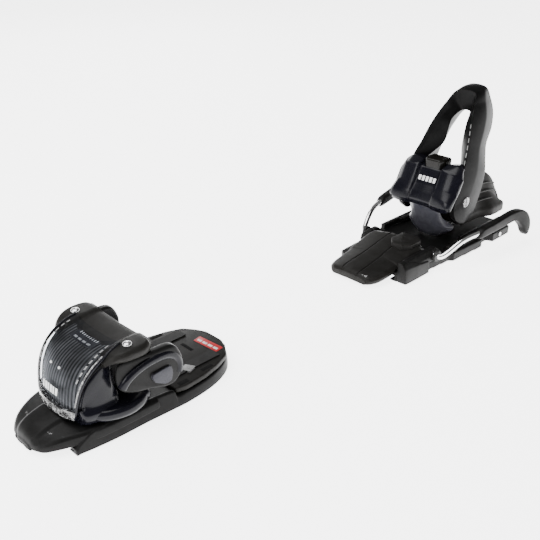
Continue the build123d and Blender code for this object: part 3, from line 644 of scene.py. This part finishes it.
# Painted highlight: a thin raised strip of the bright rim finish along one side edge of the hood,
# standing for a streak of light on the clear cover.
streak = hood_sheet("toe_edge_painted_highlight", 0.18, 0.74, 0.93, 0.965, 0.0, 0.14, 40, 4)
finish(streak, "base", rim_finish, "clear_cover")
for k in range(6):
    v = -0.36 + 0.12 * k
    bar = hood_sheet("toe_front_bar_%d" % k, 0.235, 0.300, v, v + (0.090 if k % 2 else 0.07),
                     0.0, 0.12, 4, 4)
    finish(bar, "base", white_print, "scale_print")
for hand, v in (("left", 0.80), ("right", -0.86)):
    for k in range(7):
        s = 0.40 + 0.075 * k
        dash = hood_sheet("toe_edge_dash_%s_%d" % (hand, k), s, s + 0.045, v, v + 0.038,
                          0.0, 0.08, 5, 3)
        finish(dash, "base", grey_print, "scale_print")


def ear_plate():
    """Upper plate: sunk middle behind the window, raised ears out to their blunt corners."""
    keys = [  # x, middle height, ear height, half width, inner edge of the ears
        (-14.0, 56.6, 58.2, 34.0, 23.0), (-12.0, 57.0, 58.8, 36.4, 22.5),
        (-7.0, 56.8, 58.8, 38.0, 22.0), (0.0, 56.2, 58.8, 37.6, 22.0),
        (6.0, 55.4, 58.0, 36.2, 22.0), (11.0, 53.8, 56.2, 33.4, 21.0),
        (15.0, 51.4, 52.8, 30.0, 20.0)]
    stations = []
    for x, middle, ear, half, inner in keys:
        low = min(50.9, middle - 2.0)
        stations.append((x, [(MID, middle), (inner - 3.0, middle), (inner, ear), (half - 2.4, ear),
                             (half, ear - 2.4), (half - 0.6, low + 1.6), (half - 2.6, low),
                             (inner - 4.0, low), (inner - 6.0, middle - 1.4), (MID, middle - 1.4)]))
    return loft("toe_ear_plate", cross_rows(stations, TOE_X), radius=1.3, along=60)


def lower_plate():
    """Lower plate: rounded lip around the foot of the wings."""
    outline = np.array([(31, 20), (27.5, 27), (21, 33), (11, 37), (1, 37.4), (-9, 33.5),
                        (-15, 24), (-15, -24), (-9, -33.5), (1, -37.4), (11, -37), (21, -33),
                        (27.5, -27), (31, -20), (33, -8), (33, 8)], float)
    return slab("toe_lower_plate", outline, 13.4, 21.8, plan(TOE_X), 4.1, smooth=150, steps=7,
                sharp=60)


def spring_core():
    """Spring box between the plates, drawn in under the hood."""
    stations = []
    for x, half, top in ((-14.5, 12.0, 54.0), (-6.0, 13.0, 55.0), (8.0, 13.0, 53.4),
                         (20.0, 13.0, 47.0), (29.0, 12.0, 36.0), (33.0, 11.0, 24.0)):
        stations.append((x, [(MID, top), (half - 1.5, top), (half, top - 2.0), (half, 14.0),
                             (MID, 14.0)]))
    return loft("toe_spring_box", cross_rows(stations, TOE_X), radius=1.2, along=40)


finish(ear_plate(), "base", warm_shell, "gloss_shell", "toe_housing")
finish(lower_plate(), "base", gloss_shell, "gloss_shell")
finish(spring_core(), "base", black_shell, "gloss_shell")


def toe_flank():
    """Body below the hood: follows the hood's rim at the sides and narrows before the pivots."""
    stations = []
    for x, half, top in ((32.6, 20.0, 20.0), (31.4, 21.8, 27.0), (29.0, 23.2, 35.0),
                         (25.6, 24.2, 41.0), (21.4, 25.0, 46.0), (16.5, 25.2, 50.0),
                         (11.0, 24.4, 50.2), (6.8, 21.4, 50.2), (5.6, 18.0, 50.0)):
        stations.append((x, [(MID, top - 1.0), (half - 4.0, top - 0.6), (half - 1.0, top - 2.4),
                             (half, top - 6.0), (half + 0.4, 0.6 * top + 6.0), (half + 2.2, 24.4),
                             (half + 5.4, 20.6), (half + 4.0, 14.0), (MID, 14.0)]))
    return loft("toe_flank", cross_rows(stations, TOE_X), radius=1.6, along=70, sharp=60)


WING_INNER, WING_OUTER = 30.5, 38.6


def wing_arm(name):
    """Wing seen from its side: an arched arm from the pivot to its raised tail, whose outer face
    is crowned and leans in towards the front."""
    outline = [(8.6, 50.4), (-25.0, 50.7), (-31.0, 48.4), (-35.4, 38.5), (-34.2, 28.0),
               (-28.6, 20.8), (-20.0, 21.4), (-10.0, 25.4), (2.0, 27.0), (9.4, 31.2), (11.6, 38.0),
               (10.8, 46.0)]

    def place(a, b, h):
        lean = 2.2 * np.clip((a + 22.0) / 34.0, 0.0, 1.0) ** 1.6
        crown = 1.4 * ((b - 36.0) / 15.0) ** 2
        y = h - (h - WING_INNER) / 8.0 * (crown + 2.4 * lean)
        return np.stack([a + TOE_X, y, b], -1)

    return slab(name, outline, WING_INNER, WING_OUTER, place, 2.4, corner=4.5, sharp=60, steps=7)


def wing_ridge(name):
    """Round arch half sunk in the wing's outer face, from its foot in front over to its tail."""
    path = np.array([(9.0, 33.9, 34.0), (5.0, 34.5, 39.0), (-3.0, 35.2, 43.2), (-13.0, 35.9, 45.4),
                     (-23.0, 36.0, 44.8), (-29.6, 36.1, 41.0), (-32.4, 36.0, 35.0),
                     (-31.6, 36.1, 29.0)]) + (TOE_X, 0, 0)
    return tube(name, path, 3.0, 24, 90)


def wing_panel(name):
    """Drop-shaped panel set in the outer face of the wing, where the wing has an opening; its
    lighter finish is a painted reflection.
    """
    outline = [(-23.6, 37.5), (-11.2, 35.9), (-10.6, 33.0), (-12.9, 29.2), (-20.3, 25.2),
               (-24.6, 25.9), (-26.0, 31.0), (-25.6, 35.5)]

    def place(a, b, h):
        return np.stack([a + TOE_X, h - 1.6 * np.clip((a + 22.0) / 30.0, 0, 1), b], -1)

    return slab(name, outline, 36.0, WING_OUTER + 0.25, place, 0.5, corner=1.6, sharp=50)


finish(toe_flank(), "base", gloss_shell, "gloss_shell")
# The drop panel's lighter grey-blue is a painted reflection, the light seen in the wing's opening,
# not the plastic's own colour.
panel_painted_reflection = moulded("wing_panel_painted_reflection", 0.024, 0.038, 0.3, 0.4, blue=0.006)
for make, tone in ((wing_arm, black_shell), (wing_ridge, gloss_shell), (wing_panel, panel_painted_reflection)):
    left = make(make.__name__ + "_left")
    right = mirrored(left, make.__name__ + "_right")
    for piece, body in ((right, "wing_right"), (left, "wing_left")):
        taken = (body,) if make is wing_arm else ()
        finish(piece, body, tone, "gloss_shell", *taken)


def dome(name, centre, radius, height, around=36, rings=10):
    """Domed rivet head: height times the square root of 1 minus the squared radius share."""
    share = np.sin(np.linspace(0.02, math.pi / 2, rings))
    angle = np.linspace(0, 2 * math.pi, around, endpoint=False)
    cx, cy, cz = centre
    layers = [(share[k], height * math.sqrt(max(1 - share[k] ** 2, 0.0))) for k in range(rings)]
    layers += [(1.0, -0.8), (0.02, -0.8)]
    points = np.concatenate([
        np.stack([cx + radius * r * np.cos(angle), cy + radius * r * np.sin(angle),
                  np.full(around, cz + z)], 1) for r, z in layers])
    faces = grid_faces(len(layers), around).tolist()
    faces.append(list(range(around)))
    faces.append([len(points) - around + k for k in range(around)][::-1])
    return face_out(put_mesh(name, points, faces, 40))


for hand, y, pins in (("left", 28.6, ("wing_pivot_pins",)), ("right", -28.6, ())):
    finish(dome("ear_rivet_" + hand, (TOE_X - 1.0, y, 58.9), 3.0, 1.5), "base", bright,
           "bright_steel", *pins)
for hand, y in (("left", 4.6), ("right", -4.6)):
    finish(dome("toe_dot_" + hand, (TOE_X + 32.4, y, 46.6), 0.7, 0.6, 14, 5), "base", white_print,
           "scale_print")


SOLE_TOP = 12.5


def sole_plate():
    """Sliding sole plate: flat, with a faceted outline out to the edge of the skirts."""
    half = [(-31.6, 32.0), (-40, 34.0), (-57, 32.8), (-71, 29.6), (-83, 24.6), (-89.4, 16.0),
            (-93, 8.0)]
    outline = half + [(x, -y) for x, y in half[::-1]]
    return slab("sole_plate_body", outline, 8.2, SOLE_TOP, plan(TOE_X), 1.1, corner=2.2)


def inlay(name, outline, sink, rise, corner=0.4):
    """Thin piece let into the sole plate: sink below its top and rise above it."""
    return slab(name, outline, SOLE_TOP - sink, SOLE_TOP + rise, plan(TOE_X), 0.12, corner=corner)


finish(sole_plate(), "sole_plate", warm_shell, "black_shell", "afd_plate")
label = [(-77.6, -5), (-79.4, 18), (-86.4, 17), (-84.6, -6)]
finish(inlay("sole_red_bar", label, 0.2, 0.16), "sole_plate", red_part, "red_plastic")
for k in range(4):
    low = -3.4 + 5.2 * k
    bar = [(-79.8 - 0.08 * low, low), (-80.1 - 0.08 * low, low + 3.9),
           (-82.2 - 0.08 * low, low + 3.5), (-81.9 - 0.08 * low, low - 0.4)]
    finish(inlay("sole_white_bar_%d" % k, bar, 0.0, 0.26, 0.2), "sole_plate", white_print,
           "scale_print")
sign = [(-46.5, 17.5), (-50.0, 24.6), (-56.6, 22.6), (-53.0, 16.0)]
finish(inlay("sole_light_inlay", sign, 0.1, 1.25), "sole_plate", grey_print, "scale_print")
# Flat near-black patches on the sole plate: painted shade standing for slots.
for k, (x, y, long, wide) in enumerate(((-68.8, -1.6, 1.4, 6.0), (-62.0, 28.0, 5.0, 1.6),
                                        (-40.0, 30.0, 4.0, 2.0), (-40.0, -30.0, 4.0, 2.0),
                                        (-62.0, -28.0, 5.0, 1.6))):
    slot = [(x + long, y - wide), (x + long, y + wide), (x - long, y + wide), (x - long, y - wide)]
    finish(inlay("sole_slot_%d" % k, slot, 0.2, 0.08), "sole_plate", recess_shade, "black_shell")


# ---------------------------------------------------------------- heel unit

def pedal_body():
    """Brake pedal: middle panel between two creases, flanks that fall to the sides."""
    keys = [  # x, height of the middle, half width, fall of the flanks, crease, underside
        (125.6, 9.0, 19.5, 1.4, 7.8, 3.0), (124.0, 10.6, 21.6, 1.8, 8.2, 3.0),
        (121.0, 11.6, 23.6, 2.2, 8.6, 3.0), (114.0, 12.8, 25.6, 2.8, 8.8, 3.2),
        (100.0, 14.8, 26.8, 3.2, 8.4, 5.0), (92.4, 16.0, 27.2, 3.4, 8.2, 8.0),
        (90.0, 16.6, 28.4, 3.4, 8.0, 8.8), (80.0, 18.8, 28.5, 3.2, 7.6, 8.8),
        (68.0, 21.4, 28.5, 3.0, 7.4, 8.8), (61.0, 22.8, 28.0, 3.0, 7.2, 8.8),
        (57.5, 22.4, 27.0, 3.0, 7.2, 9.2)]
    stations = []
    for x, top, half, fall, crease, under in keys:
        stations.append((x, [(MID, top), (crease - 0.7, top - 0.1), (crease, top - 0.9),
                             (crease + 0.8, top - 0.3), (half - 3.0, top - fall),
                             (half, top - fall - 2.6), (half - 0.6, under + 1.2),
                             (half - 2.0, under), (MID, under)]))
    radius = np.array([0.2, 0.4, 0.3, 0.4, 0.8, 0.8, 0.6, 0.5, 0.2])
    return loft("brake_pedal_body", cross_rows(stations, HEEL_X),
                radius=np.concatenate([radius, radius[::-1]]), along=110, corner=4, end=0.6,
                sharp=26)


def lever_rows():
    """Cross-sections of the horseshoe lever from the left foot over the top to the right foot.
    Each has the outer front edge, the side ridge, the outer rear edge, the inner rear edge,
    the inner front edge and the bed of the dished front."""
    left = [  # outer front, side ridge, outer rear, inner rear, inner front, front bed
        [(6, 31.0, 27.4), (-2, 32.0, 26.6), (-10, 31.0, 28.4),
         (-10, 26.6, 28.6), (6, 26.4, 27.8), (6, 29, 27.4)],
        [(14, 31.2, 34.0), (0, 32.2, 32.0), (-17, 31.4, 32.6),
         (-17, 26.4, 33.0), (14, 26.2, 34.2), (14, 28.8, 34.0)],
        [(18, 31.2, 44.0), (0, 32.2, 46.0), (-22, 31.4, 41.0),
         (-22, 26.2, 41.0), (18, 26.0, 44.0), (18, 28.6, 44.0)],
        [(15.5, 31.0, 54.0), (-8, 32.0, 56.0), (-28, 31.0, 54.0),
         (-28, 26.0, 54.0), (15, 26.2, 54.0), (15.4, 28.6, 54.0)],
        [(9.0, 30.0, 66.0), (-14, 31.4, 68.0), (-33.5, 29.4, 68.0),
         (-33, 24.2, 68.0), (7, 24.8, 66.0), (8.6, 27.4, 66.0)],
        [(2.0, 28.0, 80.0), (-18, 29.6, 80.0), (-36, 26.6, 80.0),
         (-34, 21.0, 80.0), (-8, 17.0, 79.0), (1.0, 25.4, 80.0)],
        [(-5.0, 25.2, 92.0), (-22, 26.8, 92.0), (-40.5, 23.2, 92.0),
         (-39, 19.5, 91.0), (-19, 9.6, 90.0), (-7.0, 21.6, 91.4)],
        [(-10.6, 22.6, 104.0), (-30, 24.2, 104.0), (-53, 19.4, 104.0),
         (-45, 16.6, 102.0), (-22, 8.4, 101.0), (-13.6, 18.6, 103.0)],
        [(-16.4, 19.4, 115.0), (-38, 20.8, 116.0), (-59.6, 15.4, 117.0),
         (-50, 12.6, 112.0), (-25, 8.0, 111.0), (-20.0, 15.4, 113.6)],
        [(-24.0, 14.8, 127.0), (-42, 16.2, 128.0), (-57.6, 12.0, 130.0),
         (-52, 7.0, 117.6), (-32, 6.0, 117.0), (-28.6, 11.2, 122.6)],
        [(-33.0, 9.2, 137.4), (-44, 9.8, 139.6), (-53, 8.0, 140.6),
         (-54.6, 3.2, 119.4), (-36.4, 3.2, 119.2), (-34.6, 7.0, 127.0)]]
    left = np.array(left, float)
    right = left[::-1] * (1, -1, 1)
    rows = np.concatenate([left, right])
    return rows + (HEEL_X, 0, 0)


def heel_lever_shell():
    """Opening lever: one bar with a six-sided section, bent like a horseshoe round its loop."""
    radius = np.array([0.5, 2.0, 1.6, 1.4, 1.0, 0.7])
    return loft("heel_lever_shell", lever_rows(), radius=radius, along=200, corner=4, end=1.0,
                sharp=28)


def cup_body():
    """Heel cup from side to side: sunk middle plate, bulging cheeks, hooked lower lip."""
    keys = [  # y, then x and z of: crown back, crown front, plate top, plate foot, swell, lip
        # front, lip underside, throat, inside, back
        (0.0, [(-4, 75), (5, 76.4), (12.6, 75.4), (20.0, 62.0), (25.4, 55.0), (28.6, 48.0),
               (26.6, 42.6), (20, 42), (10, 52), (0, 66)]),
        (10.4, [(-4, 75), (5, 76.4), (12.6, 75.2), (20.0, 61.8), (25.4, 54.8), (28.6, 47.8),
                (26.6, 42.4), (20, 41.8), (10, 52), (0, 66)]),
        (12.8, [(-4, 78.0), (7, 80.2), (15.4, 77.4), (22.4, 62.0), (27.2, 54.6), (30, 47.4),
                (27.6, 42), (20, 41.6), (10, 52), (0, 66)]),
        (19.5, [(-4, 80.0), (7, 81.2), (16, 76.6), (23.4, 61.6), (28.6, 54), (31, 47),
                (28, 41.6), (20, 41.4), (11, 52), (1, 66)]),
        (25.4, [(-3, 80.2), (7, 80.8), (15.2, 75.4), (22.4, 61), (29, 53.6), (31.4, 47),
                (28.4, 42), (21, 42), (14, 52), (5, 66)]),
        (29.4, [(5, 77.0), (9.5, 77.4), (14, 73), (20.6, 60.4), (28.6, 53), (31, 47.4),
                (28.4, 43), (23, 43.6), (18.6, 52), (11.6, 62)]),
        (32.0, [(9, 71.4), (11.4, 71.4), (13.6, 69), (19.6, 58.6), (27.6, 51.8), (29.8, 48),
                (28, 45), (24.6, 46), (20.6, 52.4), (14, 60.6)])]
    half = [[(x, y, z) for x, z in line] for y, line in keys]
    half = np.array(half, float)
    rows = np.concatenate([half[:0:-1] * (1, -1, 1), half]) + (HEEL_X, 0, 0)
    return loft("heel_cup_shell", rows, radius=1.2, along=140, corner=3, end=1.0, sharp=40)


def treadle_body():
    """Step-in spur: a shield that swells to its shoulders and narrows to its foot."""
    keys = [  # height, front, half width, depth
        (42.0, 26.0, 16.5, 8.0), (36.0, 23.4, 16.5, 8.0), (30.0, 20.6, 17.5, 9.0),
        (25.0, 18.2, 21.0, 12.0), (21.0, 16.4, 24.6, 14.0), (17.0, 15.2, 23.0, 13.0),
        (13.6, 14.4, 18.0, 11.0), (10.4, 12.8, 13.0, 9.0)]
    rows = []
    for z, front, half, depth in keys:
        left = [(front, MID), (front - 0.3, half * 0.45), (front - depth * 0.45, half * 0.86),
                (front - depth * 0.9, half), (front - depth * 1.15, half * 0.9),
                (front - depth * 1.2, MID)]
        loop = left + [(x, -y) for x, y in reversed(left)]
        rows.append([(x + HEEL_X, y, z) for x, y in loop])
    return loft("treadle_shell", np.array(rows), radius=2.0, along=60, corner=4, end=0.8)


def brake_foot():
    """Brake foot: a thick bar that rises along the wire and hooks down at its end."""
    keys = [  # top x z, bottom x z, inner and outer y
        ((13.4, 27.6), (13.4, 22.6), 52.0, 59.0), ((8.0, 31.0), (9.0, 22.3), 52.3, 60.0),
        ((-6.0, 32.6), (-5.0, 23.4), 53.6, 61.6), ((-20.0, 34.6), (-18.0, 24.6), 55.2, 63.0),
        ((-33.0, 36.4), (-30.0, 26.2), 56.6, 64.6), ((-42.0, 36.6), (-36.0, 27.2), 58.0, 66.0),
        ((-49.0, 35.0), (-41.0, 25.4), 59.0, 67.2), ((-54.6, 31.0), (-45.0, 22.0), 60.0, 68.4),
        ((-58.0, 25.0), (-48.4, 17.6), 61.0, 69.4), ((-59.2, 17.6), (-50.6, 12.8), 61.6, 70.0),
        ((-57.0, 11.4), (-53.0, 10.4), 62.2, 70.2)]
    rows = []
    for (tx, tz), (bx, bz), inner, outer in keys:
        rows.append([(tx + HEEL_X, inner, tz), (tx + HEEL_X, outer, tz),
                     (bx + HEEL_X, outer - 0.6, bz), (bx + HEEL_X, inner, bz)])
    return loft("brake_foot_shell_left", np.array(rows), radius=2.2, along=90, corner=4, end=1.0)


WIRE_RADIUS = 2.4


def wire_path():
    """Centre line of the left brake wire: cross shaft, quick rise, arm into the foot."""
    return np.array([(52, 8, 12.5), (52, 24, 12.5), (52, 38, 12.5), (50.4, 43.2, 12.9),
                     (44, 46.4, 16.6), (38, 48.6, 20.6), (31, 50.8, 24.0), (22, 53.0, 26.0),
                     (10, 55.4, 26.8), (-12, 58.0, 28.6)], float) + (HEEL_X, 0, 0)


finish(pedal_body(), "brake", warm_shell, "pedal_plastic", "brake_pedal")
finish(heel_lever_shell(), "lever", lever_shell, "black_shell", "heel_lever")
finish(cup_body(), "cup", gloss_shell, "gloss_shell", "heel_cup")
finish(treadle_body(), "cup", grey_shell, "treadle_plastic", "treadle")
finish_pair(brake_foot(), "brake", black_shell, "black_shell", ("brake_foot_left",),
            ("brake_foot_right",))
finish_pair(tube("brake_wire_left", wire_path(), WIRE_RADIUS, 24, 120), "brake", chrome,
            "chrome_wire", ("brake_wire",))
for node in ("heel_track", "brake_carrier"):
    finish(soften(node, node + "_shell", 0.75, 5), frame["nodes"][node]["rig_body"], black_shell,
           "black_shell", node)


def tower_shell():
    """Spring housing: narrow roof, sides that spread to the track, sloping back."""
    keys = [  # x, roof height, half width of the roof and of the foot
        (-14.0, 57.0, 14.0, 23.4), (-24.0, 61.0, 16.6, 23.6), (-34.0, 61.4, 16.2, 23.8),
        (-44.0, 61.4, 15.6, 25.0), (-54.0, 59.4, 16.2, 29.8), (-61.5, 56.8, 17.8, 30.6),
        (-68.0, 52.0, 18.5, 30.6), (-73.0, 46.0, 18.6, 30.4), (-76.6, 37.0, 19.4, 30.0),
        (-77.6, 28.0, 21.0, 29.6)]
    stations = []
    for x, top, half, foot in keys:
        middle = 0.5 * (top + 25.0)
        stations.append((x, [(MID, top), (half - 3.2, top), (half - 0.4, top - 1.8),
                             (half + 2.0, middle + 3.0), (half + 3.0, middle - 3.0),
                             (foot - 1.4, 26.6), (foot, 24.2), (foot, 17.0), (MID, 17.0)]))
    return loft("heel_tower", cross_rows(stations, HEEL_X), radius=1.1, along=80, sharp=32)


def near_cheek():
    """Block beside the pedal, with a sloping top and a chamfered outer edge."""
    keys = [  # x, outer y, top of the wall, top of the chamfer, top of the block
        (97.0, 39.6, 13.4, 18.0, 18.6), (93.0, 40.0, 13.6, 17.6, 18.4),
        (80.0, 40.2, 12.6, 15.6, 16.6), (63.6, 40.0, 10.8, 13.4, 14.0)]
    rows = []
    for x, out, low, mid, top in keys:
        rows.append([(x + HEEL_X, 30.4, 0.3), (x + HEEL_X, out, 0.3), (x + HEEL_X, out - 0.8, low),
                     (x + HEEL_X, out - 4.4, mid), (x + HEEL_X, 30.4, top)])
    return loft("brake_cheek_left", np.array(rows), radius=0.7, along=30, corner=3, end=0.8,
                sharp=30)


def patch(name, corners, lift=0.35, sink=0.3):
    """Thin closed plate over four corners, from sink below to lift above their plane."""
    quad = np.asarray(corners, float)
    normal = np.cross(quad[2] - quad[0], quad[3] - quad[1])
    normal /= np.linalg.norm(normal)
    normal *= 1.0 if normal[0] + normal[2] > 0 else -1.0
    points = np.concatenate([quad - normal * sink, quad + normal * lift])
    faces = [[3, 2, 1, 0], [4, 5, 6, 7], [0, 1, 5, 4], [1, 2, 6, 5], [2, 3, 7, 6], [3, 0, 4, 7]]
    return face_out(put_mesh(name, points, faces, 40))


def on_arm(station, share):
    """Point on the front face of the lever's left arm."""
    rows = lever_rows()
    low = int(station)
    here = rows[low] + (rows[low + 1] - rows[low]) * (station - low)
    return here[0] + (here[5] - here[0]) * share


def on_plate(y, down):
    """Point on the cup's middle plate, down from its top edge."""
    return np.array((HEEL_X + 12.6 + 0.483 * down, y, 75.4 - 0.875 * down))


finish(tower_shell(), "carriage", warm_shell, "black_shell", "heel_housing")
for k, z in enumerate((51.0, 43.5, 36.0)):
    y = 19.4 + (51.0 - z) * 0.27
    rib = tube("tower_rib_left_%d" % k, np.array(
        [(-27.0, y, z), (-44.0, y + 0.4, z - 0.8), (-60.0, y + 0.6, z - 3.0),
         (-70.0 - 1.6 * k, y + 0.4, z - 6.0)]) + (HEEL_X, 0, 0), 0.9, 14, 50)
    finish_pair(rib, "carriage", warm_shell, "black_shell")
finish(near_cheek(), "base", black_shell, "black_shell")
cap = slab("cup_cap_block", [(12.0, 7.4), (12.0, -7.4), (8.0, -10.0), (-5.0, -10.0),
                             (-5.0, 10.0), (8.0, 10.0)],
           72.0, 83.4, plan(HEEL_X), 2.2, corner=1.6, steps=6)
finish(cap, "cup", olive_shell, "gloss_shell", "cup_cap")
badge = patch("cup_badge_plate", [on_plate(-9.8, 1.5), on_plate(9.8, 1.5), on_plate(9.8, 14.6),
                                  on_plate(-9.8, 14.6)], 0.3, 0.6)
finish(badge, "cup", gloss_shell, "badge_plate", "cup_badge")
for k in range(5):
    y = -9.3 + 3.9 * k
    bar = patch("cup_mark_bar_%d" % k, [on_plate(y, 8.6), on_plate(y + 2.8, 8.6),
                                        on_plate(y + 2.8, 13.2), on_plate(y + 0.3, 13.2)],
                0.45, 0.2)
    finish(bar, "cup", white_print, "scale_print")
MARK_START, MARK_STEP = 5.1, 0.5        # stations along the lever's left arm
for k in range(6):
    low = MARK_START + MARK_STEP * k
    bar = patch("lever_mark_bar_%d" % k, [on_arm(low, 0.36), on_arm(low + 0.3, 0.36),
                                          on_arm(low + 0.3, 0.62), on_arm(low, 0.62)], 0.35, 0.5)
    finish(bar, "lever", grey_print, "scale_print")
box = slab("brake_hinge_box", [(76, 7.0), (76, 17.0), (68, 23.0), (54, 23.0), (50, 18), (50, 0.5),
                               (68, 0.5)], 12.6, 23.4, plan(HEEL_X), 0.9, corner=1.0)
finish(box, "brake", warm_shell, "pedal_plastic")
for k, y in enumerate((11.0, 14.5)):
    mark = [(123.4, y), (123.4, y + 2.4), (121.4, y + 2.4), (121.4, y)]
    bar = slab("pedal_mark_bar_%d" % k, mark, 8.8, 10.9 - 0.06 * y, plan(HEEL_X), 0.1)
    finish(bar, "brake", grey_print, "scale_print")

# CAD pieces that stay as they are, each with its finish.
KEPT = {
    bright: ("toe_release_screw", "toe_side_screws", "nose_screws",
             "afd_screw", "heel_release_screw", "axle_screws", "length_screw", "track_rivets",
             "heel_axle", "adjust_block", "toe_plunger", "heel_plunger"),
    dark_steel: ("toe_spring", "heel_spring", "brake_springs", "pressure_springs"),
    glide: ("wing_pad_left", "wing_pad_right", "brake_collars"),
    black_shell: ("afd_pads",),
    red_part: ("toe_spring_nut", "heel_spring_nut"),
    white_print: ("heel_scale",),
    clear: ("heel_window",),
}
for material, names in KEPT.items():
    for name in names:
        node = frame["nodes"][name]
        node.data.materials.clear()
        node.data.materials.append(material)
        node.data.polygons.foreach_set("material_index", np.zeros(len(node.data.polygons), int))


# ---------------------------------------------------------------- floor, light, camera

FLOOR_RADIUS = 7.0          # metres, as everything in this section
FLOOR_GLOW = 4.2
WORLD_LIGHT = 0.22
CAMERA_PLACE = (0.403, 0.3585, 0.300)
CAMERA_DOWN, CAMERA_HEADING = 26.7, 135     # degrees
LENS_MM, SENSOR_MM = 50.0, 36.0


def floor_and_light():
    """Round pale floor with a low rise at its rim, lit by a top, a front and a back box."""
    rings, around = 60, 72
    far = np.linspace(0.02, FLOOR_RADIUS, rings)[:, None]
    turn = np.linspace(0, 2 * math.pi, around, endpoint=False)[None]
    rise = 0.065 * np.maximum(far - 2.5, 0.0) ** 2 + 0.0 * turn
    points = np.stack([far * np.cos(turn), far * np.sin(turn), rise - 0.00005], -1)
    faces = grid_faces(rings, around).tolist() + [list(range(around))[::-1]]
    floor = put_mesh("studio_floor", points.reshape(-1, 3) / MM, faces)
    f = Finish("studio_floor_white")
    f.set(color=f.mix(f.noise(300.0, 2.0), grey(0.88), grey(0.9)), rough=0.6, spec=0.1,
          emit=grey(1.0), glow=FLOOR_GLOW)
    floor.data.materials.append(f.material)
    for name, place, aim, size, power in (
            ("top_box", (0.35, -0.35, 1.5), (0.0, 0.0, 0.0), 1.3, 34.0),
            ("front_box", (1.2, -0.1, 0.8), (0.1, 0.0, 0.04), 0.6, 9.0),
            ("back_box", (-0.7, -1.3, 0.75), (-0.1, 0.0, 0.05), 0.35, 5.0)):
        lamp = bpy.data.lights.new(name, "AREA")
        lamp.shape = "SQUARE"
        lamp.size = size
        lamp.energy = power
        lit = bpy.data.objects.new(name, lamp)
        lit.location = place
        direction = Vector(aim) - Vector(place)
        lit.rotation_euler = direction.to_track_quat("-Z", "Y").to_euler()
        bpy.context.scene.collection.objects.link(lit)
    world = bpy.data.worlds.new("studio")
    world.use_nodes = True
    world.node_tree.nodes["Background"].inputs[0].default_value = (1, 1, 1, 1)
    world.node_tree.nodes["Background"].inputs[1].default_value = WORLD_LIGHT
    bpy.context.scene.world = world


def place_camera():
    """Long look down at both units from the left front."""
    lens = bpy.data.cameras.new("camera")
    lens.lens = LENS_MM
    lens.sensor_width = SENSOR_MM
    eye = bpy.data.objects.new("camera", lens)
    eye.location = CAMERA_PLACE
    eye.rotation_euler = (math.radians(90 - CAMERA_DOWN), 0, math.radians(CAMERA_HEADING))
    bpy.context.scene.collection.objects.link(eye)
    bpy.context.scene.camera = eye


floor_and_light()
place_camera()
